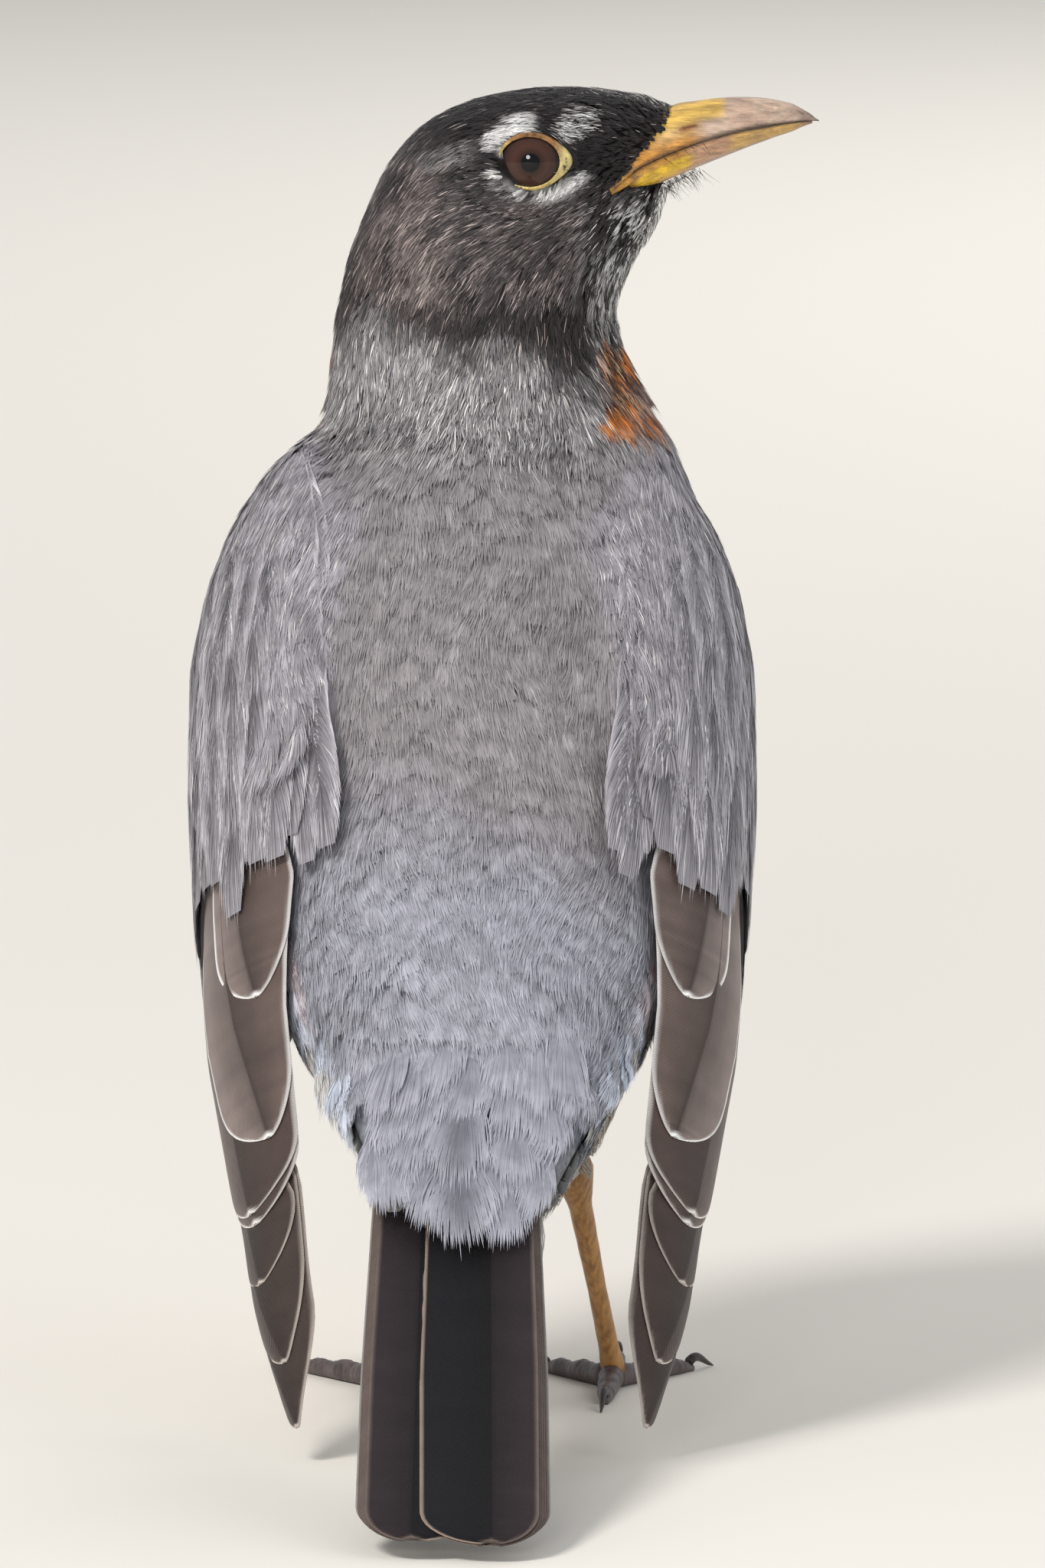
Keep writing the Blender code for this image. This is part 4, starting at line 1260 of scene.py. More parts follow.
# Spacing, length and half width of the feathers, mm, and their style
KINDS = {
    "back": {"spacing": 1.15, "length": 8.6, "width": 1.75, "style": SOFT},
    "breast": {
        "spacing": 1.7, "length": 9.0, "width": 2.0,
        "style": dict(SOFT, barbs=22, thick=0.09, points=3),
    },
    "neck": {
        "spacing": 0.82, "length": 5.4, "width": 1.0,
        "style": dict(
            SOFT, barbs=14, thick=0.062, ragged=0.09, spread=0.24, uneven=0.08, ground=0.62,
            wave=0.3, lift=0.15,
        ),
    },
    "head": {
        "spacing": 0.53, "length": 3.5, "width": 0.5,
        "style": dict(
            SOFT, barbs=10, thick=0.043, points=3, rows=(0.05, 0.32, 0.6), ground=0.5,
            ragged=0.10, spread=0.36, uneven=0.12, wave=0.16, lift=0.14,
        ),
    },
    "shoulder": {
        "spacing": 1.3, "length": 9.0, "width": 1.7,
        "style": dict(SOFT, barbs=24, thick=0.07, spread=0.15, uneven=0.06),
    },
    "lid": {
        "spacing": 0.36, "length": 1.9, "width": 0.32,
        "style": dict(
            SOFT, barbs=8, thick=0.036, points=3, rows=(0.05, 0.3, 0.55), ground=0.7,
            ragged=0.08, spread=0.22, uneven=0.08, wave=0.08, lift=0.10,
        ),
    },
    "thigh": {
        "spacing": 1.2, "length": 4.8, "width": 0.9,
        "style": dict(
            SOFT, barbs=12, thick=0.07, points=3, rows=(0.05, 0.45, 0.75), spread=0.2,
            uneven=0.08,
        ),
    },
}
MOST_FACES = 185_000  # triangles of one piece; what is more goes into the next piece
VENT_END = SKIN_END - 7.0  # mm along the tail, where the belly's own feathers stop
TRIES, HEAD_TRIES = ((170_000, 260_000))
# Height of a feather along its length, as a share of the coat's depth
FEATHER_RISE = np.array((0.05, 0.56, 0.82, 0.94, 1.0))
LID_FEATHER_RISE = np.array((0.5, 0.8, 0.92, 0.98, 1.0))


def bare(points):
    """Where no feather grows: the eyes with their lids, and the bill."""
    ahead, above, out = face_place(points)
    eye_ring = (
        (lid_distance(ahead, above) < 0.93 + 0.04 * ramp(3.0, 4.5, ahead)) & (out > 6.0)
    )
    edge = np.interp(
        above, (-1.8, 0.6, 2.9, 4.8, 6.3, 7.0, 7.8),
        (9.6, 12.6, 15.0, 16.8, 18.1, 17.4, 16.9),
    )
    edge = edge + 0.3 * drift(points, 1.0)
    chin = np.interp(
        ahead, (9.0, 12.4, 14.8, 17.0, 19.0, 20.5), (-1.9, -1.9, -1.9, -1.35, -0.7, -0.3),
    )
    on_bill = (above > chin) & (ahead > edge) & ((out > 0.8) | (above > 2.0))
    return eye_ring | on_bill | (ahead > 19.4)


def feather_sizes(kind, values, roots, rng):
    """Lengths and half widths, smaller towards the face and the tail."""
    length = values["length"] * rng.uniform(0.8, 1.2, len(roots))
    width = values["width"] * rng.uniform(0.85, 1.15, len(roots))
    length = length * (1 - 0.65 * ramp(8, 20, tail_reach(roots)))
    station = body_place(roots)[0]
    if kind == "back":
        smaller = 1 - 0.28 * ramp(6.8, 8.4, station)
        return length * smaller, width * smaller
    if kind == "neck":
        low = ramp(10.0, 8.2, station)
        return length * (1 + 0.15 * low), width * (1 + 0.30 * low)
    if kind == "head":
        ahead = face_place(roots)[0]
        face, behind = ramp(6, 12, ahead), ramp(-8, -18, ahead)
        length = length * (1 - 0.38 * face + 0.3 * behind)
        return length, width * (1 - 0.25 * face + 0.35 * behind)
    return length, width


def contour_feathers(ground):
    """All feathers of the body and the head, as pieces with the kind they are of."""
    rng = np.random.default_rng(SEED + 2)
    points, normals, uvs = ground.scatter(TRIES, rng)
    region = region_of(points)
    reach = tail_reach(points)
    _, back, _, _ = body_place(points)
    keep = ~bare(points) & (reach < np.where(back > -0.2, TAIL_COVERT_START, VENT_END))
    made = []
    for kind, values in KINDS.items():
        chosen = np.flatnonzero((region == kind) & keep)
        pool = [a[chosen] for a in (points, normals, uvs)]
        if kind in ("head", "lid"):
            more = ground.scatter(HEAD_TRIES, rng)
            extra = (region_of(more[0]) == kind) & ~bare(more[0])
            pool = [np.concatenate((a, b[extra])) for a, b in zip(pool, more)]
        kept = thinned(pool[0], values["spacing"], rng)
        order = np.argsort(pool[0][kept] @ np.array((0.0, -0.5, 1.0)))
        roots, up, uv = (a[kept[order]] for a in pool)
        ahead, above, _ = face_place(roots)
        length, width = feather_sizes(kind, values, roots, rng)
        guides, outward = march(ground, roots, up, length, len(FEATHER_RISE))
        depth = coat_depth(guides[:, -1]) * rng.uniform(0.92, 1.03, len(roots))
        if kind == "head":
            depth = depth + ramp(12.5, 15.0, ahead) * (0.35 + 0.25 * ramp(3.0, 1.0, above))
        rise = LID_FEATHER_RISE if kind == "lid" else FEATHER_RISE
        guides = guides + outward * (depth[:, None] * rise)[..., None]
        look = markings(roots * 0.4 + guides[:, -1] * 0.6)
        style = values["style"]
        per = style["barbs"] * (2 * style["points"] - 3) + 4 * (len(style["rows"]) - 1)
        batch = max(1, MOST_FACES // per)
        for first in range(0, len(roots), batch):
            part = slice(first, first + batch)
            coat = Coat()
            some = {key: value[part] for key, value in look.items()}
            add_feathers(
                coat, guides[part], outward[part], width[part], some, uv[part], rng, style,
            )
            made.append((kind, coat.mesh(f"feathers_{kind}_{first // batch + 1}")))
    return made


# --- feathers of the wing --------------------------------------------------------------

CLOSE_STYLE = dict(
    SOFT, barbs=200, thick=0.085, points=5, rows=tuple(np.linspace(0.02, 0.96, 11)),
    along=0.12, widest=0.66, run=0.27, fan=0.03, ragged=0.02, lift=0.08, roll=0.16,
    spread=0.11, uneven=0.05, ground=0.80, wave=0.3,
)
# Feathers in the row; shares of the wing's width of the first and last, up to the back;
# shares of its length of the roots, the first tip and the last; half width; depths at root
# and tip; how brown the last one is; from the lowest layer up
COVERTS = (
    (4, 1.10, 1.00, 0.20, 0.470, 0.440, 2.6, 1.0, 0.8, 0.0),
    (9, 0.93, -0.62, 0.19, 0.442, 0.466, 3.1, 1.6, 0.35, 0.5),
    (7, -0.45, -0.88, 0.25, 0.545, 0.450, 1.9, 1.7, 0.50, 1.0),
    (4, -0.55, -0.85, 0.08, 0.400, 0.250, 1.7, 1.3, 0.25, 1.0),
    (8, 0.93, -0.60, 0.09, 0.385, 0.375, 3.0, 1.5, 0.22, 0.25),
    (9, 0.93, -0.60, 0.03, 0.315, 0.300, 2.8, 1.4, 0.12, 0.15),
    (9, 0.93, -0.60, -0.03, 0.245, 0.225, 2.6, 1.3, 0.04, 0.1),
    (10, 0.94, -0.60, -0.07, 0.175, 0.150, 2.3, 1.2, 0.00, 0.0),
    (4, 0.90, 0.50, 0.12, 0.452, 0.485, 3.2, 1.1, 0.10, 0.0),
    (4, 0.84, 0.44, 0.07, 0.395, 0.425, 3.1, 1.1, 0.04, 0.0),
    (4, 0.86, 0.46, 0.02, 0.335, 0.365, 3.0, 1.0, 0.00, 0.0),
    (4, 0.84, 0.42, -0.03, 0.270, 0.300, 2.8, 0.9, -0.04, 0.0),
    (4, 0.88, 0.48, -0.06, 0.200, 0.230, 2.6, 0.9, -0.06, 0.0),
)


def wing_guides(side, roots, tips, levels, stations=9):
    """Guides on the wing's surface from (share, rise) to (share, rise), at their depths."""
    roots, tips, levels = (np.asarray(v, float) for v in (roots, tips, levels))
    s = np.linspace(0, 1, stations)
    share = roots[:, :1] + (tips - roots)[:, :1] * s
    rise = roots[:, 1:] + (tips - roots)[:, 1:] * (1 - (1 - s) ** 1.7)
    depth = levels[:, :1] + (levels[:, 1:] - levels[:, :1]) * ramp(0, 0.7, s)
    return wing_surface(side, share, rise, depth)


def tones(count, root, middle, tip, pale, pale_share):
    """The same colours for each of a number of feathers."""
    look = {"root": root, "middle": middle, "tip": tip, "pale": pale}
    look = {key: np.broadcast_to(value, (count, 3)).copy() for key, value in look.items()}
    look["pale_share"] = np.full(count, pale_share)
    return look


def wing_rise(share, u):
    """mm up the wing at a share of its width, which is negative on the belly's side."""
    _, _, width, _ = wing_shape(share, u)
    return u * width


def wing_coverts(side, ground):
    """Scapulars, lesser, median and greater coverts, primary coverts and alula."""
    rng = np.random.default_rng(SEED + 20 + side)
    roots, tips, levels, width, brown = [], [], [], [], []
    for count, first, last, root, tip, last_tip, half, deep, shallow, brownest in COVERTS:
        t = np.arange(count) / (count - 1)
        u = first + (last - first) * t + rng.normal(0, 0.012, count)
        end = tip + (last_tip - tip) * t + rng.normal(0, 0.013, count)
        fanned = np.clip(u + 0.32 * (u > -0.4) * (brownest < 1), -1.0, 0.96)
        roots.append(np.stack((np.full(count, root), wing_rise(root, fanned)), axis=1))
        tips.append(np.stack((end, wing_rise(end, u)), axis=1))
        at_tip = shallow + 0.5 * ramp(0.68, 0.95, u) * (root < 0.1)
        levels.append(np.stack((np.full(count, deep), at_tip), axis=1))
        width.append(half * rng.uniform(0.92, 1.08, count))
        brown.append(brownest * (0.85 + 0.15 * t if brownest == 1 else ramp(0.55, 1.0, t)))
    roots, tips, levels, width, brown = (
        np.concatenate(v) for v in (roots, tips, levels, width, brown)
    )
    guides, outward = wing_guides(side, roots, tips, levels)
    look = tones(
        len(width), tone(84, 80, 84), SHOULDER * 0.86, tone(204, 200, 205),
        tone(228, 226, 230), 0.06,
    )
    look["centre"] = 0.36 + 0.3 * rng.random(len(width))
    look["middle"] = blend(look["middle"], tone(88, 76, 72), 0.9 * brown)
    look["tip"] = blend(look["tip"], tone(206, 200, 196), 0.8 * brown)
    _, _, uv = ground.nearest(guides[:, 0])
    coat = Coat()
    add_feathers(coat, guides, outward, width, look, uv, rng, CLOSE_STYLE)
    return coat.mesh(f"feathers_wing_{'left' if side > 0 else 'right'}")


# Shares of the half width where a blade's columns lie
HALF_COLUMNS = (0.035, 0.12, 0.32, 0.55, 0.76, 0.88, 0.93, 0.965, 1.0)
COLUMNS = np.array([-c for c in reversed(HALF_COLUMNS)] + [0.0, *HALF_COLUMNS])


def add_blade(coat, surface, look, corner, rng, rows=40):
    """One closed flight feather: an upper and a lower sheet with a rim between them.

    surface(s, u) gives points and outward ways at shares of the length and of the half
    width, and the half width and the length; all in mm. corner is where its patch lies on
    the OFBake map: place of the low corner, width of a sheet, height.
    """
    s = np.sin(np.linspace(0, 1, rows) * math.pi / 2)
    s[-1] = 0.9985
    grid_s, grid_u = np.meshgrid(s, COLUMNS, indexing="ij")
    point, outward, half, length = surface(grid_s, grid_u)
    away = np.abs(grid_u) * half
    ridge = 0.16 * np.exp(-((away / 0.32) ** 2)) * (1 - 0.7 * grid_s)
    crown = 0.22 * (1 - np.abs(grid_u) ** 1.5)
    ragged = rng.normal(0, 0.006, grid_s.shape) * (np.abs(grid_u) > 0.9)
    top = point + outward * (ridge + crown + ragged)[..., None]
    thick = 0.05 + 0.16 * (1 - np.abs(grid_u)) + 0.10 * np.exp(-((away / 0.4) ** 2))
    low = top - outward * thick[..., None]
    colour = blade_colours(look, grid_s, grid_u, half, length, rng)
    colours = np.concatenate((colour.reshape(-1, 3), colour.reshape(-1, 3) * 0.9))
    left, start, width, height = corner
    across = left + (grid_u * 0.5 + 0.5) * width
    patch = np.stack((across, start + grid_s * height), axis=-1).reshape(-1, 2)
    uvs = np.concatenate((patch, patch + (width * 1.1, 0.0)))
    vane = np.stack((grid_u * half / 10, grid_s * length / 10), axis=-1).reshape(-1, 2)
    points = np.concatenate((top.reshape(-1, 3), low.reshape(-1, 3)))
    quads = blade_faces(rows, len(COLUMNS))
    if look["flip"]:
        quads = quads[:, ::-1]
    coat.add(points, colours, uvs, quads, None, np.concatenate((vane, vane)))


def blade_colours(look, grid_s, grid_u, half, length, rng):
    """Two vanes of different tones, a dark shaft and pale edges."""
    away = np.abs(grid_u) * half
    outer = grid_u * look["outer"] > 0
    edge = (1 - np.abs(grid_u)) * half
    fringe = ramp(look["fringe"] * 1.6, look["fringe"] * 0.5, edge)
    fringe = fringe * np.where(outer, look["outer_fringe"], look["inner_fringe"])
    from_tip = (1 - grid_s) * length + 0.35 * np.abs(grid_u) * half
    end = ramp(look["tip_length"], 0.2 * look["tip_length"], from_tip)
    fringe = np.maximum(fringe, end * look["tip_fringe"])
    lit = np.where(outer[..., None], look["outer_vane"], look["inner_vane"])
    lit = lit * (0.66 + 0.46 * ramp(0.05, 0.85, np.abs(grid_u)))[..., None]
    lit = lit * (1 + 0.06 * rng.normal(size=(len(grid_s), 1, 1)))
    shaft = np.exp(-((away / 0.22) ** 2))[..., None] * 0.85
    colour = lit * (1 - shaft) + look["shaft"] * shaft
    return blend(colour, look["pale"], np.clip(fringe, 0, 1))


def blade_faces(rows, columns):
    """Quads of the upper sheet, the lower sheet and the rim between them."""
    sheet = grid_faces(rows, columns, 1, 0)
    count = rows * columns
    rim = [r * columns for r in range(rows)]
    rim += [(rows - 1) * columns + c for c in range(1, columns)]
    rim += [r * columns + columns - 1 for r in range(rows - 2, -1, -1)]
    rim += list(range(columns - 2, 0, -1))
    rim = np.array(rim)
    after = np.roll(rim, -1)
    sides = np.stack((rim, after, after + count, rim + count), axis=1)
    return np.concatenate((sheet[:, ::-1], sheet + count, sides))


def blade_half(s, tip, root=0.9):
    """Share of the half width along a flight feather that ends in a round tip."""
    body = root + (1 - root) * ramp(0.0, 0.45, s)
    return body * np.clip(1 - (np.clip(s - (1 - tip), 0, 1) / tip) ** 2.2, 0.0006, 1) ** 0.6


# Tips as share and mm up the wing, roots likewise, half widths above and below the shaft,
# share of the length that the round tip takes, share of the wing's back that the upper edge
# keeps within; from the top of the folded stack down
TERTIALS = (
    ((0.582, 12.5), (0.36, 9.6), 6.5, 4.6, 0.30, 0.95),
    ((0.7245, 10.2), (0.36, 7.6), 8.0, 6.8, 0.20, 0.94),
)
SECONDARIES = (
    ((0.786, 5.2), (0.37, 5.0), 11.0, 6.0, 0.15, 0.93),
    ((0.797, 5.4), (0.37, 3.6), 11.0, 6.0, 0.15, 0.92),
    ((0.781, 3.4), (0.37, 1.8), 11.0, 5.6, 0.15, 0.91),
)
PRIMARIES = (
    ((0.856, 3.9), (0.38, -1.0), 7.4, 5.6, 0.15, 0.84),
    ((0.939, 3.5), (0.38, -4.0), 10.0, 5.0, 0.18, 0.86),
    ((1.002, 2.0), (0.39, -7.0), 13.0, 4.4, 0.18, 0.88),
    ((0.962, -0.4), (0.40, -10.0), 3.6, 3.4, 0.14, 1.0),
)
STACK_STEP = 0.22  # mm from one feather down to the next


def flight_surface(side, row, depth, under):
    """The surface of one flight feather of the wing, for add_blade."""
    tip, root, above, below, end, within = row

    def surface(s, u):
        share = root[0] + (tip[0] - root[0]) * s
        shaft = root[1] + (tip[1] - root[1]) * s
        room = within * wing_rise(share, np.ones_like(share)) - shaft
        taper = blade_half(s, end)
        wide = np.where(u > 0, np.minimum(above, room) * taper, below * taper)
        sunk = 1.25 * (1 - ramp(0.42, 0.56, share)) + depth * (1 - ramp(0.76, 0.88, share))
        point, outward = wing_surface(side, share, shaft + u * wide, sunk + under + 0.2)
        return point, outward, wide, (tip[0] - root[0]) * WING_LENGTH

    return surface


def flight_feathers(side, name, rows, depth, look):
    """One group of a wing's flight feathers, each deeper and darker than the last."""
    rng = np.random.default_rng(SEED + 40 + side + len(rows))
    coat = Coat()
    for k, row in enumerate(rows):
        own = dict(look)
        own["outer_vane"] = look["outer_vane"] * (1 - 0.03 * k)
        corner = (0.02 + 0.135 * k, 0.03, 0.055, 0.92)
        add_blade(coat, flight_surface(side, row, depth, STACK_STEP * k), own, corner, rng)
    return coat.mesh(name)


def wing_look(outer_vane, inner_vane, pale, side, **changes):
    look = {
        "outer_vane": outer_vane, "inner_vane": inner_vane, "pale": pale,
        "shaft": tone(58, 47, 43), "fringe": 0.30, "outer_fringe": 1.0, "inner_fringe": 0.5,
        "tip_length": 0.9, "tip_fringe": 1.0, "outer": -1, "flip": side < 0,
    }
    return {**look, **changes}


# --- tail ------------------------------------------------------------------------------

TAIL_PAIRS = 6
TAIL_OUTER, TAIL_INNER = 5.5, 8.2  # widths of the two vanes of a feather
TAIL_SET = 2.6  # how far to the left of its line the tail starts
TAIL_TOP, TAIL_STEP = 0.30, 0.17  # mm under the line: the top feather, and one to the next


def tail_surface(shift, down, length, root, which):
    """The surface of one tail feather, for add_blade; which is 1 on the left, -1 on the
    right."""

    def surface(s, u):
        wide = np.where(u * which > 0, TAIL_OUTER, TAIL_INNER)
        wide = wide * (0.84 + 0.16 * np.minimum(1.0, 1.6 * s))
        end = np.clip((s - 0.93) / 0.07, 0, 1)
        wide = wide * np.sqrt(np.clip(1 - end**2, 0.001, 1))
        aside = shift * (0.8 + 0.2 * s) + u * wide + TAIL_SET * (1 - s)
        point = root + TAIL_LINE * (length * s)[..., None] + TAIL_ACROSS * aside[..., None]
        point = point - TAIL_UP * (down + 0.15 * np.abs(u) ** 2)[..., None]
        return point, np.broadcast_to(TAIL_UP, point.shape), wide, length

    return surface


def tail_feathers():
    """Pairs from the middle one, which lies on top, to the outer one with its white tip."""
    rng = np.random.default_rng(SEED + 60)
    coat = Coat()
    whole = float(np.linalg.norm(TAIL_TIP - TAIL_BASE))
    for k in range(2 * TAIL_PAIRS):
        pair, left = divmod(k, 2)
        which = 1 if left else -1
        down = TAIL_TOP + (0.40 + TAIL_STEP * (k - 1) if k else 0.0)
        later = 0.9 * pair + 0.45 * left
        length = whole - (0.4 * pair**1.4 + 1.2 * left) - later
        shift = which * (4.6 + 0.24 * pair)
        surface = tail_surface(shift, down, length, TAIL_BASE + TAIL_LINE * later, which)
        look = {
            "outer_vane": tone(40, 32, 35), "inner_vane": tone(17, 15, 18),
            "pale": tone(152, 134, 122), "shaft": tone(14, 11, 12), "fringe": 0.34,
            "outer_fringe": 0.35, "inner_fringe": 0.9, "tip_length": 0.8 + 0.5 * pair,
            "tip_fringe": 0.5, "outer": which, "flip": False,
        }
        if pair == TAIL_PAIRS - 1:
            look |= {"tip_length": 7.0, "tip_fringe": 0.9, "pale": tone(222, 218, 212)}
        corner = (0.01 + 0.08 * k, 0.03, 0.034, 0.92)
        add_blade(coat, surface, look, corner, rng, rows=44)
    return coat.mesh("tail_feathers")


# Tips of the coverts over the tail: mm along it and to the left, half width, how dark the
# middle is; from the lowest layer up
UPPER_COVERTS = (
    (36.0, -6.3, 3.9, 0.1), (30.0, 8.6, 3.7, 0.1), (27.0, 11.0, 2.8, 0.0),
    (31.0, -9.6, 2.8, 0.0), (33.0, 3.6, 3.6, 0.15), (31.5, -3.4, 3.6, 0.2),
    (25.0, 6.2, 3.7, 0.1), (26.5, -7.0, 3.6, 0.1), (37.3, 0.3, 4.7, 0.5),
    (27.5, 0.5, 4.0, 0.45), (20.5, 9.6, 3.4, 0.0), (21.0, -10.0, 3.4, 0.0),
    (20.0, 5.6, 3.4, 0.1), (19.0, -5.4, 3.4, 0.1), (17.0, 0.4, 3.6, 0.1),
    (15.5, 8.4, 3.2, 0.0), (15.0, -8.4, 3.2, 0.0), (14.5, 11.6, 2.8, 0.0),
    (14.0, -11.8, 2.8, 0.0), (13.0, 4.4, 3.3, 0.0), (13.4, -4.0, 3.3, 0.0),
)
UNDER_COVERTS = (
    (44.0, 1.5, 4.2, 0.0), (41.0, -4.6, 4.0, 0.0), (40.0, 6.4, 4.0, 0.0),
    (35.0, -8.0, 3.6, 0.0), (34.0, 9.0, 3.6, 0.0), (33.0, 1.6, 4.2, 0.0),
    (30.0, -4.8, 4.0, 0.0), (29.0, 5.6, 4.0, 0.0), (25.0, 9.6, 3.4, 0.0),
    (25.0, -9.6, 3.4, 0.0), (24.0, 0.0, 4.0, 0.0),
)
COVERT_LENGTH = 21.0
TAIL_THICKNESS = 3.0


def rump_section(reach):
    """Half width and half depth of the coverts round the tail, mm."""
    marks = (-12.0, 4.4, 20.9, 35.3, 44.0)
    return (
        np.interp(reach, marks, (22.0, 16.4, 11.8, 10.2, 9.6)),
        np.interp(reach, marks, (15.4, 8.8, 4.9, 1.9, 0.8)),
    )


def tail_coverts(name, rows, over, look, ground):
    """Long soft feathers on the root of the tail, over it (1) or under it (-1)."""
    rng = np.random.default_rng(SEED + 61 + over)
    s = np.linspace(0, 1, 9)
    tips = np.array(rows)
    layer = np.arange(len(rows)) / len(rows)
    reach = tips[:, :1] - COVERT_LENGTH * rng.uniform(0.9, 1.1, (len(rows), 1)) * (1 - s)
    half_width, half_depth = rump_section(reach)
    room = half_width + (0.4 if over > 0 else -0.8) - tips[:, 2:3]
    aside = np.clip(tips[:, 1:2] * (0.72 + 0.28 * s), -room, room)
    q = np.clip(aside / (half_width + 1.6), -0.97, 0.97)
    height = half_depth * np.sqrt(1 - q**2) - 1.3 * (1 - s) ** (2 + 2 * tips[:, 3:]) - 0.1
    height = height + (0.5 * layer + 0.8 * tips[:, 3])[:, None]
    down = 0.0 if over > 0 else TAIL_THICKNESS
    height = np.maximum(height, 0.45) + down * ramp(20, 34, reach)
    aside = aside + 0.6 * TAIL_SET * ramp(0, 26, reach)
    guides = TAIL_BASE + TAIL_LINE * reach[..., None] + TAIL_ACROSS * aside[..., None]
    guides = guides + TAIL_UP * (over * height)[..., None]
    outward = unit(
        TAIL_UP * (over * np.sqrt(1 - q**2) / half_depth)[..., None]
        + TAIL_ACROSS * (q / half_width)[..., None]
    )
    look = tones(len(rows), **look, pale_share=0.03)
    look["centre"] = tips[:, 3]
    _, _, uv = ground.nearest(guides[:, 0])
    style = dict(
        SOFT, barbs=150, thick=0.10, points=5, rows=tuple(np.linspace(0.02, 0.8, 9)),
        run=0.5, fan=0.22, widest=0.62, blunt=0.24, ragged=0.045, spread=0.045, uneven=0.02,
        ground=0.98, wave=0.5,
    )
    coat = Coat()
    add_feathers(coat, guides, outward, tips[:, 2], look, uv, rng, style)
    return coat.mesh(name)


# --- bill ------------------------------------------------------------------------------

# Ahead of HEAD; heights above it of the top, the mouth line and the bottom; half width
BILL = np.array((
    (8.6, 0.2, -2.7, -4.6, 7.0),
    (12.6, 3.6, 0.0, -3.4, 6.2),
    (16.4, 6.7, 1.7, -1.7, 4.9),
    (20.0, 7.5, 3.0, -0.2, 4.0),
    (24.0, 7.9, 4.1, 1.4, 3.2),
    (28.0, 7.8, 4.8, 2.9, 2.4),
    (31.2, 7.2, 5.2, 4.0, 1.5),
    (33.4, 6.1, 5.3, 4.9, 0.7),
    (34.4, 5.35, 5.2, 5.05, 0.12),
))
BILL_ROWS, BILL_SIDES = 56, 40
NOSTRIL = (18.9, 4.9)  # its middle, ahead of and above HEAD


def bill_row(ahead):
    """Top, mouth, bottom and half width, on a smooth curve through the table."""
    at = np.interp(ahead, BILL[:, 0], np.arange(len(BILL)))
    i = np.clip(at.astype(int), 0, len(BILL) - 2)
    f = (at - i)[:, None]
    a, b, c, d = (BILL[np.clip(i + k, 0, len(BILL) - 1), 1:] for k in (-1, 0, 1, 2))
    curve = 2 * b + (c - a) * f + (2 * a - 5 * b + 4 * c - d) * f**2
    curve = curve + (3 * b - a - 3 * c + d) * f**3
    return 0.5 * curve.T


def bill_cylinder(name):
    """A cylinder with rows cut across it."""
    deselect()
    bpy.ops.mesh.primitive_cylinder_add(
        vertices=BILL_SIDES, radius=1.0, depth=2.0, end_fill_type="TRIFAN"
    )
    obj = bpy.context.object
    obj.name = obj.data.name = name
    bpy.ops.object.mode_set(mode="EDIT")
    bpy.ops.mesh.select_mode(type="EDGE")
    bpy.ops.mesh.select_all(action="DESELECT")
    bpy.ops.object.mode_set(mode="OBJECT")
    points = read_points(obj.data)
    for edge in obj.data.edges:
        a, b = (points[v] for v in edge.vertices)
        edge.select = bool(abs(a[2] - b[2]) > 1.0)
    bpy.ops.object.mode_set(mode="EDIT")
    bpy.ops.mesh.subdivide(number_cuts=BILL_ROWS)
    bpy.ops.mesh.select_mode(type="VERT")
    bpy.ops.object.mode_set(mode="OBJECT")
    return obj


def nostril_at(ahead, above, length, height):
    """1 in the middle of the nostril, a slit that rises forward."""
    off = above - NOSTRIL[1] - 0.35 * (ahead - NOSTRIL[0])
    return np.exp(-(((ahead - NOSTRIL[0]) / length) ** 2) - (off / height) ** 2)


def bill_shape(points, upper):
    """The cylinder's points brought to the half's arch: ahead, to the side and above."""
    side = 1 if upper else -1
    share = (points[:, 2] + 1) / 2
    first, last = BILL[0, 0] + 1.2, BILL[-1, 0] - (0.0 if upper else 0.8)
    ahead = first + (last - first) * share**0.92
    top, mouth, bottom, half = bill_row(ahead)
    angle = np.arctan2(points[:, 1], points[:, 0])
    size = np.hypot(points[:, 0], points[:, 1])
    edge = mouth + side * 0.04
    height = (top - edge) if upper else (edge - bottom)
    lift = np.sin(angle)
    arch = np.abs(lift) ** (0.95 if upper else 0.85)
    y = half * (np.sign(np.cos(angle)) * np.abs(np.cos(angle)) ** 0.82) * size
    outer = lift * side > 0
    inside = edge + side * 0.35 * arch * size * np.minimum(1.0, half / 2)
    z = np.where(outer, edge + side * (height * arch * size), inside)
    if upper:  # the culmen is a narrow ridge, the edge over the mouth is full
        ridge = np.exp(-((y / np.maximum(0.45 * half, 0.2)) ** 2)) * outer
        z = z + 0.22 * ridge * np.minimum(1.0, height / 3)
        y = y - np.sign(y) * 0.40 * nostril_at(ahead, z, 1.5, 0.45) * outer
        groove = np.exp(-(((z - 4.9 - 0.06 * (ahead - 19)) / 0.5) ** 2))
        y = y - np.sign(y) * 0.22 * (groove * ramp(26, 17, ahead) * outer)
    else:
        groove = np.exp(-(((z - (mouth - 1.0)) / 0.4) ** 2))
        y = y - np.sign(y) * 0.20 * (groove * ramp(24, 12, ahead) * outer)
    fleshy = np.exp(-((z - mouth) ** 2) / 0.5) * ramp(17.5, 11.0, ahead) * outer
    y = y + np.sign(y) * (0.35 + 0.10 * np.sin(ahead * 5.0)) * fleshy
    z = z + 0.08 * np.sin(ahead * 4.0 + 1.0) * fleshy
    return ahead, y, z


def layered(colour, *layers):
    """Lays tones over a colour, each with its share."""
    for over, share in layers:
        colour = blend(colour, over, share)
    return colour


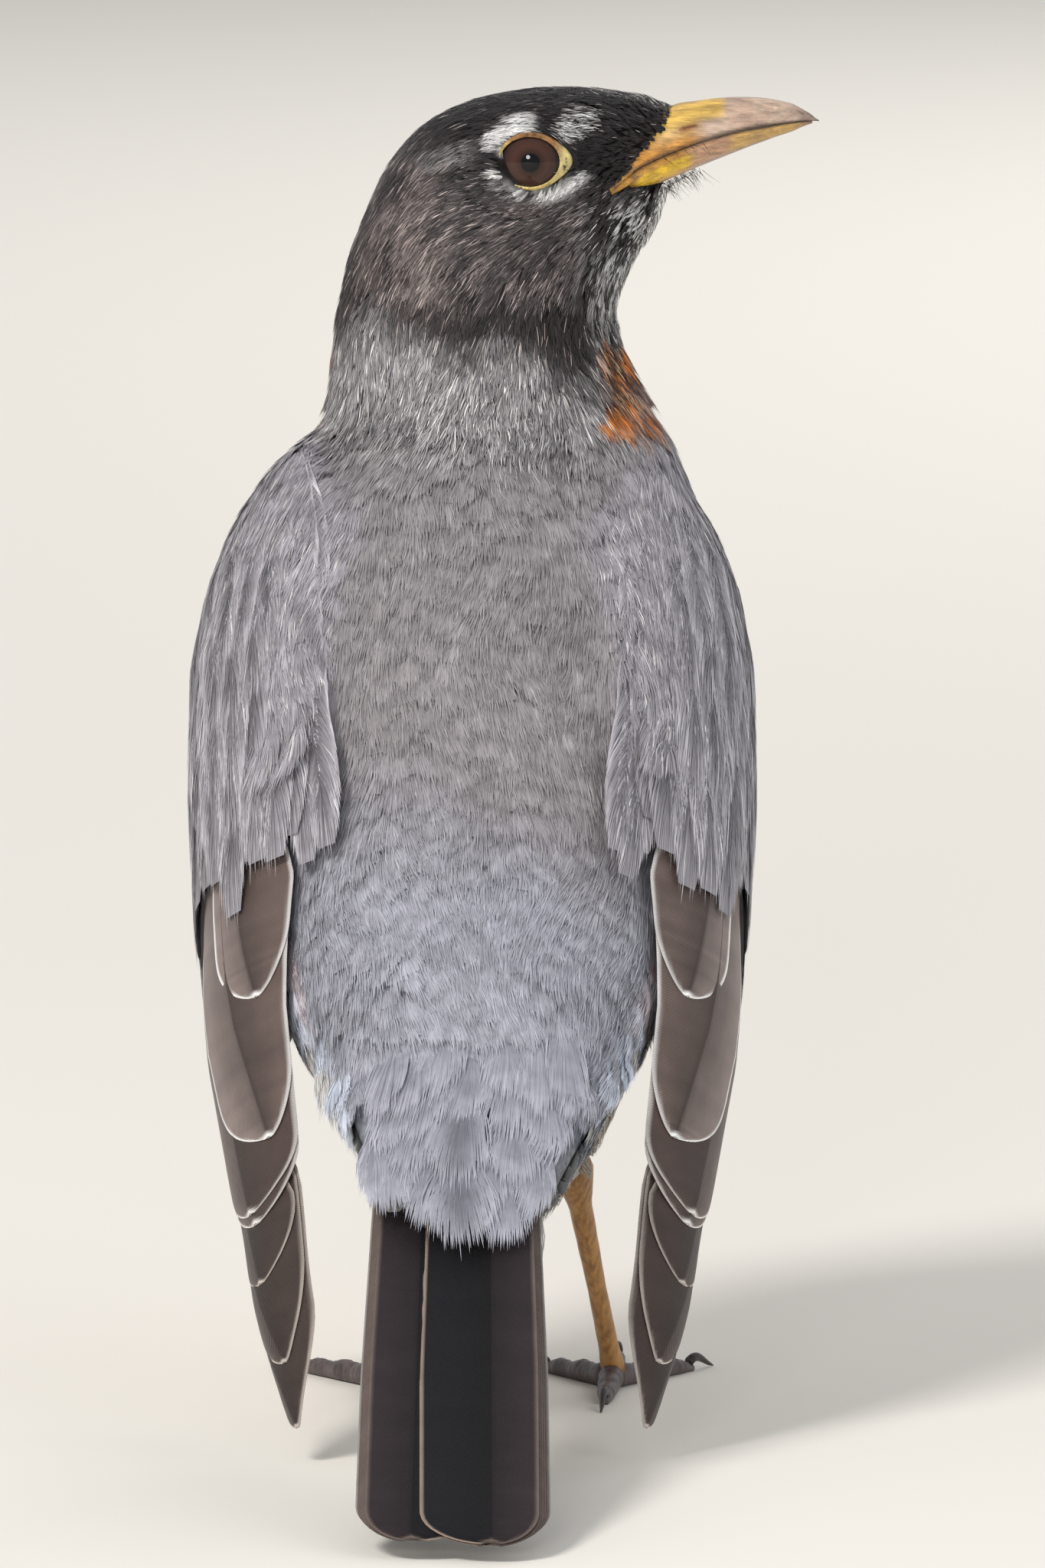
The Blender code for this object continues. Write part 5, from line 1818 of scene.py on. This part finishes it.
def upper_colours(ahead, above, rise, pattern):
    """Orange at the root, flesh and horn along the side, yellow along the ridge."""
    return layered(
        tone(206, 142, 56),
        (tone(214, 178, 120), ramp(0.1, 0.5, rise) * ramp(13, 17, ahead)),
        (tone(196, 170, 150), ramp(19.2, 21.0, ahead + 0.8 * rise + 0.5 * pattern)),
        (tone(168, 136, 116), 0.5 * ramp(0.1, 0.7, pattern) * ramp(18, 22, ahead)),
        (tone(214, 174, 84), ramp(0.50, 0.66, rise) * ramp(23.6, 22.4, ahead)),
        (tone(146, 124, 112), ramp(29.0, 33.8, ahead + 0.8 * pattern) * 0.85),
        (tone(104, 52, 20), np.clip(1.5 * nostril_at(ahead, above, 1.3, 0.36), 0, 1)),
    )


def lower_colours(ahead, depth, pattern):
    """Orange and yellow at the root, horn towards the tip, and painted shade along the
    bottom edge.
    """
    yellow = ramp(11.5, 13.5, ahead) * ramp(19.8, 18.4, ahead)
    yellow = yellow * hump(0.28, 0.82, depth, 0.25)
    return layered(
        tone(200, 138, 52),
        (tone(190, 146, 112), ramp(17.8, 19.6, ahead + 0.4 * pattern)),
        (tone(196, 156, 88), ramp(22.6, 24.6, ahead + 0.5 * pattern)),
        (tone(238, 192, 30), 0.95 * yellow),
        # painted shade: dark brown along the bottom edge, from 18 mm ahead on
        (tone(112, 74, 46), 0.75 * ramp(0.78, 0.96, depth) * ramp(18, 22, ahead)),
        (tone(150, 116, 92), ramp(31, 33.5, ahead)),
    )


def bill_colours(shaped, upper):
    ahead, above = HEAD[0] - shaped[:, 0], shaped[:, 2] - HEAD[2]
    top, mouth, bottom, _ = bill_row(ahead)
    pattern = drift(shaped, 2.2)
    if upper:
        rise = np.clip((above - mouth) / np.maximum(top - mouth, 0.2), -1, 1)
        colour = upper_colours(ahead, above, rise, pattern)
    else:
        depth = np.clip((mouth - above) / np.maximum(mouth - bottom, 0.2), 0, 1)
        colour = lower_colours(ahead, depth, pattern)
    corner = blend(tone(196, 158, 92), tone(120, 84, 40), 0.5 + 0.5 * pattern)
    seam = np.exp(-(((above - mouth) / 0.12) ** 2)) * 0.85
    colour = layered(
        colour, (corner, 0.75 * ramp(13.5, 10.0, ahead)), (tone(86, 54, 30), seam)
    )
    return np.clip(colour * (1 + 0.05 * pattern[:, None]), 0, 1)


def bill_half(name, upper, material):
    obj = bill_cylinder(name)
    ahead, y, z = bill_shape(read_points(obj.data), upper)
    shaped = HEAD + np.stack((-ahead, y, z), axis=1)
    write_points(obj.data, placed(shaped))
    face_outward(obj)
    write_colours(obj.data, "Horn", bill_colours(shaped, upper))
    return dress(obj, material, "bill_horn", name)


# Along a fold of the mouth's corner: how far ahead; height over the mouth line; how far it
# stands out from the skin; radius
FOLD_HEIGHT = ((8.6, 10.5, 16.0), (0.12, 0.40, 0.75))
FOLD_OUT = ((8.6, 10.0, 13.0, 16.0), (0.05, 0.12, 0.05, -0.3))
FOLD_RADIUS = ((8.6, 9.4, 11.0, 13.5, 16.0), (0.10, 0.28, 0.42, 0.46, 0.25))


def gape_fold(name, side, over, ground, material):
    """A fleshy fold of the corner of the mouth, over (1) or under (-1) the mouth line."""
    ahead = np.linspace(8.6, 16.0, 18)
    _, mouth, _, _ = bill_row(ahead)
    above = mouth + over * np.interp(ahead, *FOLD_HEIGHT) - 0.1
    path = []
    for a, z in zip(ahead, above):
        start = Vector(placed(HEAD + (-a, side * 14.0, z)))
        found = ground.tree.ray_cast(start, Vector((0.0, -side, 0.0)))[0]
        path.append(unplaced(np.array(found)))
    path = np.array(path)
    path[:, 1] += side * np.interp(ahead, *FOLD_OUT)
    radii = np.interp(ahead, *FOLD_RADIUS) * (1 - 0.12 * over)
    radii = radii * (1 + 0.09 * np.sin(ahead * 6.5 + over))
    obj = limb(name, path, radii, 14)
    pattern = drift(unplaced(read_points(obj.data)), 0.9)
    colour = blend(tone(214, 158, 62), tone(150, 104, 52), 0.5 + 0.5 * pattern)
    write_colours(obj.data, "Horn", colour)
    return dress(obj, material, "bill_horn")


# --- eyes ------------------------------------------------------------------------------


EYE_OPENING = (3.75, 3.2)  # half sizes within which the ball isn't drawn in


def eye_piece(name, side, material):
    deselect()
    centre = placed(EYE + (0, side * EYE_SPREAD, 0))
    bpy.ops.mesh.primitive_uv_sphere_add(
        segments=48, ring_count=32, radius=EYE_RADIUS * MM, location=tuple(centre)
    )
    obj = bpy.context.object
    obj.name = obj.data.name = name
    bpy.ops.object.transform_apply(location=True, rotation=True, scale=True)
    points = unplaced(read_points(obj.data))
    off = points - EYE
    beyond = np.hypot(off[:, 0] / EYE_OPENING[0], off[:, 2] / EYE_OPENING[1])
    beyond = np.maximum(beyond, 1.0)
    held = (1 + 0.08 * (beyond - 1)) / beyond  # drawn in behind the lids
    points[:, (0, 2)] = (EYE + off * held[:, None])[:, (0, 2)]
    write_points(obj.data, placed(points))
    bpy.ops.object.shade_smooth()
    return dress(obj, material, "eye", name)


def colour_lid(obj):
    """Orange brown above, buff in front, pale yellow below."""
    place = unplaced(read_points(obj.data)) - EYE
    ahead, above = -place[:, 0], place[:, 2]
    brown = ramp(0.2, 2.6, above + 0.25 * ahead)
    fleck = (0.25 + 0.45 * ramp(0.5, 2.5, above)) * ramp(0.1, 0.7, drift(place, 0.55))
    colour = layered(
        tone(206, 184, 118),
        (tone(150, 108, 66), brown),
        (tone(204, 186, 128), ramp(2.8, 4.2, ahead)),
        (tone(70, 50, 36), fleck),
    )
    write_colours(obj.data, "Lid", colour * (1 + 0.18 * drift(place, 0.9))[:, None])


LID_STEPS = 72
# Profile from the eyeball out to the feathers: share of the way, mm out past the eyeball
LID_PROFILE = (
    (0.0, -0.35), (0.04, 0.12), (0.16, 0.34), (0.32, 0.40), (0.5, 0.30), (0.68, 0.36),
    (0.84, 0.20), (1.0, -0.9),
)
LID_IN, LID_OUT = (3.5, 2.95), (4.05, 3.55)  # half sizes of the ring's inner and outer edge


def lid_point(side, angle, share, proud):
    """A point of the ring at an angle round the eye and at a share of the way outward."""
    c, s = math.cos(angle), math.sin(angle)
    front = max(0.0, c) ** 4
    ax = (LID_IN[0] + 0.05 * front) * (1 - share) + (LID_OUT[0] + 1.15 * front) * share
    az = LID_IN[1] * (1 - share) + LID_OUT[1] * share
    ahead, above = ax * c - 0.12 * (1 - share), az * s
    reach = math.sqrt(max(0.5, EYE_RADIUS**2 - ahead**2 - above**2))
    flat = 3.05 - 0.030 * (ahead**2 + above**2)
    outer = min(1.0, 1.6 * share)
    level = reach * (1 - outer) + max(reach, flat) * outer
    wrinkle = 0.05 * math.sin(angle * 19 + 6 * share) * math.sin(math.pi * share)
    return EYE + (-ahead, side * (EYE_SPREAD + level + proud + wrinkle), above)


def lid_ring(name, side, material):
    """The bare ring round an eye, wider at the front corner."""
    angles = [2 * math.pi * k / LID_STEPS for k in range(LID_STEPS)]
    points = np.array(
        [[lid_point(side, angle, *row) for row in LID_PROFILE] for angle in angles]
    )
    columns = len(LID_PROFILE)
    faces = []
    for k in range(LID_STEPS):
        here, after = k * columns, (k + 1) % LID_STEPS * columns
        for j in range(columns):
            m = (j + 1) % columns
            faces.append((here + j, after + j, after + m, here + m))
    mesh = bpy.data.meshes.new(name)
    mesh.from_pydata([tuple(p) for p in placed(points.reshape(-1, 3))], [], faces)
    obj = linked(name, mesh)
    face_outward(obj)
    colour_lid(obj)
    return dress(obj, material, "hood_plumage")


LID_BEADS = 46


def lid_beads(name, side, material):
    """Small beads along the lids, larger below; modelled once and copied round the eye."""
    deselect()
    bpy.ops.mesh.primitive_ico_sphere_add(subdivisions=2, radius=MM)
    first = bpy.context.object
    beads = [first] + [first.copy() for _ in range(LID_BEADS - 1)]
    for k, bead in enumerate(beads):
        angle = 2 * math.pi * k / LID_BEADS
        ahead, above = 3.62 * math.cos(angle) - 0.1, 3.12 * math.sin(angle)
        reach = math.sqrt(EYE_RADIUS**2 - ahead**2 - above**2)
        if k:
            bead.data = first.data.copy()
            bpy.context.scene.collection.objects.link(bead)
        bead.location = placed(EYE + (-ahead, side * (EYE_SPREAD + reach + 0.34), above))
        bead.scale = [0.07 + 0.09 * max(0.0, -math.sin(angle))] * 3
    make_active(*beads)
    bpy.ops.object.transform_apply(location=True, rotation=True, scale=True)
    bpy.ops.object.join()
    obj = bpy.context.object
    obj.name = obj.data.name = name
    bpy.ops.object.shade_smooth()
    colour_lid(obj)
    return dress(obj, material, "hood_plumage")


# --- bristles --------------------------------------------------------------------------


BRISTLES = 170
BRISTLE_CORNERS = (0, 2.094, 4.189)  # angles of the three edges of a bristle


def bristles(ground, material):
    """Stiff hairs round the gape and under the chin."""
    rng = np.random.default_rng(SEED + 70)
    coat = Coat()
    count = BRISTLES
    side = rng.choice((-1.0, 1.0), count)
    ahead = rng.uniform(9.0, 20.5, count)
    _, mouth, bottom, half = bill_row(ahead)
    low = rng.random(count) < 0.8
    above = np.where(
        low, bottom - 0.4, mouth + rng.uniform(0.6, 2.2, count) * (ahead < 15.5),
    )
    out = np.where(low, half * rng.uniform(0.2, 0.9, count), half * 0.95)
    start = HEAD + vectors(-ahead, side * out, above)
    way = unit(vectors(
        -rng.uniform(0.35, 1.0, count), side * rng.uniform(0.1, 0.6, count),
        np.where(low, -rng.uniform(0.2, 1.1, count), -rng.uniform(-0.2, 0.6, count)),
    ))
    length = rng.uniform(0.9, 2.4, count)
    bend = vectors(
        0.3 * rng.normal(size=count), 0.25 * rng.normal(size=count),
        -rng.uniform(0.1, 0.5, count),
    )
    s = np.linspace(0, 1, 4)
    path = (
        start[:, None] + way[:, None] * (length[:, None] * s)[..., None]
        + bend[:, None] * (s**2 * 1.4)[None, :, None]
    )
    thick = 0.035 * (1 - s) + 0.006
    a = unit(np.cross(way, np.array((0.1, 0.2, 1.0))))
    b = unit(np.cross(way, a))
    ring = [a * math.cos(t) + b * math.sin(t) for t in BRISTLE_CORNERS]
    points = np.stack([path + r[:, None] * thick[None, :, None] for r in ring], axis=2)
    stations = len(s)
    quads = []
    for k in range(stations - 1):
        for j in range(3):
            m = (j + 1) % 3
            quads.append((k * 3 + j, k * 3 + m, (k + 1) * 3 + m, (k + 1) * 3 + j))
    end = (stations - 1) * 3
    step = (np.arange(count) * stations * 3)[:, None, None]
    quads = (np.array(quads)[None] + step).reshape(-1, 4)
    caps = (np.array(((0, 2, 1), (end, end + 1, end + 2)))[None] + step).reshape(-1, 3)
    _, _, uv = ground.nearest(start)
    uvs = (
        np.repeat(uv, stations * 3, axis=0)
        + rng.uniform(-PATCH, PATCH, (count * stations * 3, 2))
    )
    colour = np.broadcast_to(BLACK * 0.6, (count * stations * 3, 3))
    coat.add(points, colour, uvs, quads, caps)
    return dress(coat.mesh("feathers_bristles"), material, "hood_plumage")


# --- legs ------------------------------------------------------------------------------

# By side, 1 for the left and -1 for the right
ANKLE = {1: np.array((8.8, 19.0, 29.0)), -1: np.array((-11.6, 19.0, 29.0))}
FOOT = {1: np.array((11.2, 0.0, 3.0)), -1: np.array((-16.6, 0.0, 3.0))}
TOE_RADIUS = 1.3
SOLE_TRIM = 0.16
# Share of the length, and the radius there in mm or as a share of TOE_RADIUS
SHANK_RADII = ((0, 0.05, 0.12, 0.22, 0.6, 0.88, 1), (1.7, 2.5, 2.2, 1.42, 1.12, 1.2, 1.5))
TOE_SWELL = (
    (0, 0.06, 0.22, 0.4, 0.56, 0.74, 0.9, 1),
    (1.05, 1.2, 1.02, 1.16, 0.92, 1.04, 0.74, 0.45),
)
# Heading in degrees outward from straight ahead; length of the toe and of its claw
TOES = {
    "middle": (2.0, 19.5, 5.4), "inner": (-32.0, 13.5, 4.8), "outer": (36.0, 14.5, 4.8),
    "hind": (184.0, 11.5, 7.0),
}


def limb(name, path, radii, sides):
    """A disc extruded from station to station along a path, and shaded smooth."""
    path = placed(path)
    way = Vector(path[-1] - path[0])
    turn = way.to_track_quat("Z", "Y").to_euler()
    deselect()
    bpy.ops.mesh.primitive_circle_add(
        vertices=sides, radius=float(radii[0]) * MM, fill_type="NGON",
        location=tuple(path[0]), rotation=turn,
    )
    obj = bpy.context.object
    obj.name = obj.data.name = name
    bpy.ops.object.transform_apply(location=True, rotation=True, scale=True)
    edit_all(obj)
    for k in range(1, len(path)):
        step = tuple(path[k] - path[k - 1])
        bpy.ops.mesh.extrude_region_move(TRANSFORM_OT_translate={"value": step})
        grow = float(radii[k] / radii[k - 1])
        bpy.ops.transform.resize(value=(grow, grow, grow), center_override=tuple(path[k]))
    face_outward(obj)
    return obj


def toe_way(side, toe):
    """The level way in which a toe points."""
    angle = math.radians(TOES[toe][0])
    return np.array((side * math.sin(angle), -math.cos(angle), 0.0))


def shank_piece(side, name, material):
    start = ANKLE[side] + (0.0, -1.2, 1.6)
    end = FOOT[side] + 1.3 * unit(FOOT[side] - start)  # down into the root of the toes
    s = np.linspace(0, 1, 30)
    radii = np.interp(s, *SHANK_RADII)
    scutes = 1 + 0.035 * np.abs(np.sin(s * math.pi * 8)) - 0.02
    obj = limb(name, start + (end - start) * s[:, None], radii * scutes, 16)
    return dress(obj, material, "leg_scales", name)


def toe_piece(side, toe, name, material):
    length, way = TOES[toe][1], toe_way(side, toe)
    start = FOOT[side] * (1, 1, 0) + way * 0.6
    s = np.linspace(0, 1, 34)
    swell = np.interp(s, *TOE_SWELL)
    scutes = 1 + 0.06 * np.abs(np.sin(s * math.pi * 0.85 * length))
    radii = TOE_RADIUS * swell * (1 - 0.22 * s) * scutes * 0.97
    path = start + way * ((length + 1.2) * s)[:, None]
    path[:, 2] = radii - SOLE_TRIM
    obj = limb(name, path, radii, 14)
    points = read_points(obj.data)
    points[:, 2] = np.maximum(points[:, 2], SHIFT[2])
    write_points(obj.data, points)
    return dress(obj, material, "leg_scales", name)


def claw_piece(side, toe, name, material):
    (_, toe_length, length), way = TOES[toe], toe_way(side, toe)
    root = FOOT[side] * (1, 1, 0) + way * (1.9 + toe_length - 0.6)
    s = np.linspace(0, 1, 12)
    radii = 0.62 * (1 - s) ** 0.75 + 0.06
    arch = np.sin(math.pi * np.minimum(1.0, 0.9 * s + 0.08)) * (1 - s)
    drop = 0.85 + 0.26 * length * arch
    path = root + way * ((length + 0.6) * s * 0.92)[:, None]
    path[:, 2] = np.maximum(drop * (1 - 0.9 * s**2.4), radii + 0.02)
    obj = limb(name, path, radii, 12)
    return dress(obj, material, "claw_horn", name)


# --- stage -----------------------------------------------------------------------------

CAMERA_RISE = 7.5  # degrees above level
CAMERA_DISTANCE = 3.0  # m
VIEW_HEIGHT = 0.1862  # m that the camera sees from top to bottom at that distance
SENSOR = 36.0  # mm
AIM = (-5.95, 0.0, 71.9)  # in the bird's own frame
# Name; metres from the bird; size; watts; colour. Only the spark shows in glossy pieces.
LAMPS = (
    ("key", (0.75, 0.75, 1.15), 0.45, 17.0, (1.0, 0.97, 0.93)),
    ("fill", (-1.2, 0.9, 0.5), 1.2, 6.0, (0.93, 0.96, 1.0)),
    ("front", (-0.5, -1.3, 0.7), 1.2, 9.0, (1.0, 0.98, 0.95)),
    ("spark", (0.24, 1.95, 0.44), 0.40, 9.0, (0.96, 0.98, 1.0)),
)


def stage():
    """A wide floor, soft light from all round, four lamps and a distant camera."""
    deselect()
    bpy.ops.mesh.primitive_plane_add(size=6.0, location=(0, 0, 0))
    floor = bpy.context.object
    floor.name = floor.data.name = "floor"
    floor.data.materials.append(
        plain_material("studio_floor", tone(226, 222, 214), 0.8, 0.2)
    )

    world = bpy.data.worlds.new("studio")
    world.use_nodes = True
    background = world.node_tree.nodes["Background"]
    background.inputs["Color"].default_value = (*tone(226, 228, 232), 1)
    background.inputs["Strength"].default_value = 0.62
    bpy.context.scene.world = world

    target = Vector(placed((-2.0, 0.0, 80.0)))
    for name, off, size, power, colour in LAMPS:
        deselect()
        bpy.ops.object.light_add(type="AREA", location=tuple(target + Vector(off)))
        lamp = bpy.context.object
        lamp.name = lamp.data.name = name
        lamp.data.shape = "DISK"
        lamp.data.size = size
        lamp.data.energy = power
        lamp.data.color = colour
        lamp.visible_glossy = name == "spark"
        lamp.rotation_euler = (target - lamp.location).to_track_quat("-Z", "Y").to_euler()

    rise = math.radians(CAMERA_RISE)
    away = Vector((0.0, math.cos(rise), math.sin(rise)))
    aim = Vector(SHIFT) + Vector((AIM[0], AIM[1], AIM[2] / math.cos(rise))) * MM
    deselect()
    bpy.ops.object.camera_add(location=tuple(aim + away * CAMERA_DISTANCE))
    camera = bpy.context.object
    camera.name = camera.data.name = "camera"
    camera.rotation_euler = (-away).to_track_quat("-Z", "Y").to_euler()
    camera.data.sensor_width = SENSOR
    camera.data.lens = SENSOR * CAMERA_DISTANCE / VIEW_HEIGHT
    camera.data.clip_end = 50.0
    bpy.context.scene.camera = camera
    bpy.context.scene.view_settings.view_transform = "Standard"


# --- the whole bird --------------------------------------------------------------------


COAT_SLOTS = {
    "head": "hood_plumage", "lid": "hood_plumage", "shoulder": "wing_plumage",
    "thigh": "thigh_plumage",
}
# Rows, depth of the first feather in mm, tones of the outer and the inner vane and of the
# pale edges, and what else differs from other flight feathers
FLIGHT = {
    "tertials": (
        TERTIALS, 0.0, (tone(124, 110, 105), tone(90, 76, 71), tone(240, 238, 236)), {}),
    "secondaries": (
        SECONDARIES, 0.5, (tone(94, 80, 76), tone(70, 57, 53), tone(236, 231, 226)), {}),
    "primaries": (
        PRIMARIES, 1.1, (tone(72, 59, 55), tone(58, 47, 43), tone(218, 206, 196)),
        {"tip_length": 0.6, "fringe": 0.22}),
}
OVER_TAIL = {
    "root": tone(104, 102, 110), "middle": tone(146, 146, 156), "tip": tone(180, 180, 190),
    "pale": tone(188, 188, 198),
}
UNDER_TAIL = {
    "root": tone(150, 150, 154), "middle": BELLY, "tip": WHITE, "pale": tone(150, 150, 158),
}


def build_plumage():
    """Skin and feathers; returns where feathers and bristles are rooted."""
    soft = plumage_material("plumage", 0.72, 0.32)
    sleek = plumage_material("hood_plumage", 0.5, 0.45)
    close = plumage_material("covert_plumage", 0.55, 0.4)
    vane = vane_material("flight_vanes", 0.48, 0.4, 0.07)
    skin = make_skin()
    ground = Ground(skin)
    dress(skin, skin_material(), "mantle_plumage", *FLESH)
    for kind, obj in contour_feathers(ground):
        material = sleek if kind in ("head", "lid") else soft
        dress(obj, material, COAT_SLOTS.get(kind, "mantle_plumage"))

    for name, side in SIDES:
        wing = f"wing_{name}_"
        dress(wing_coverts(side, ground), close, "wing_plumage", wing + "coverts")
        for group, (rows, depth, colours, changes) in FLIGHT.items():
            look = wing_look(*colours, side, **changes)
            pieces = flight_feathers(side, f"{group}_{name}", rows, depth, look)
            nodes = [wing + group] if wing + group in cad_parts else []
            dress(pieces, vane, "wing_plumage", *nodes)

    tail_vane = vane_material("tail_vanes", 0.62, 0.18, 0.06)
    dress(tail_feathers(), tail_vane, "tail_plumage", "tail")
    for name, rows, over, look in (
        ("feathers_over_tail", UPPER_COVERTS, 1, OVER_TAIL),
        ("feathers_under_tail", UNDER_COVERTS, -1, UNDER_TAIL),
    ):
        dress(tail_coverts(name, rows, over, look, ground), soft, "mantle_plumage")
    return ground


def build_head(ground):
    """Bill, folds of its corners, eyes, lids and bristles."""
    horn = horn_material()
    for half in ("upper", "lower"):
        bill_half(f"bill_{half}", half == "upper", horn)
    for name, side in FACE_SIDES:
        for half, over in (("upper", 1), ("lower", -1)):
            gape_fold(f"gape_{name}_{half}", side, over, ground, horn)
    glass, lid = eye_material(), lid_material()
    for name, side in FACE_SIDES:
        eye_piece(f"eye_{name}", side, glass)
        lid_ring(f"lid_{name}", side, lid)
        lid_beads(f"lid_beads_{name}", side, lid)
    bristles(ground, plain_material("bristle", BLACK * 0.6, 0.5))


def build_legs():
    shank_skin = scale_material("shank_skin", tone(176, 130, 72), tone(124, 84, 48), 0.42)
    toe_skin = scale_material("toe_skin", tone(96, 84, 82), tone(52, 42, 44), 0.45)
    claw_horn = plain_material("claw_horn", tone(52, 44, 42), 0.35)
    for name, side in SIDES:
        shank_piece(side, f"shank_{name}", shank_skin)
        for toe in TOES:
            toe_piece(side, toe, f"toe_{name}_{toe}", toe_skin)
            claw_piece(side, toe, f"claw_{name}_{toe}", claw_horn)


build_head(build_plumage())
build_legs()
stage()
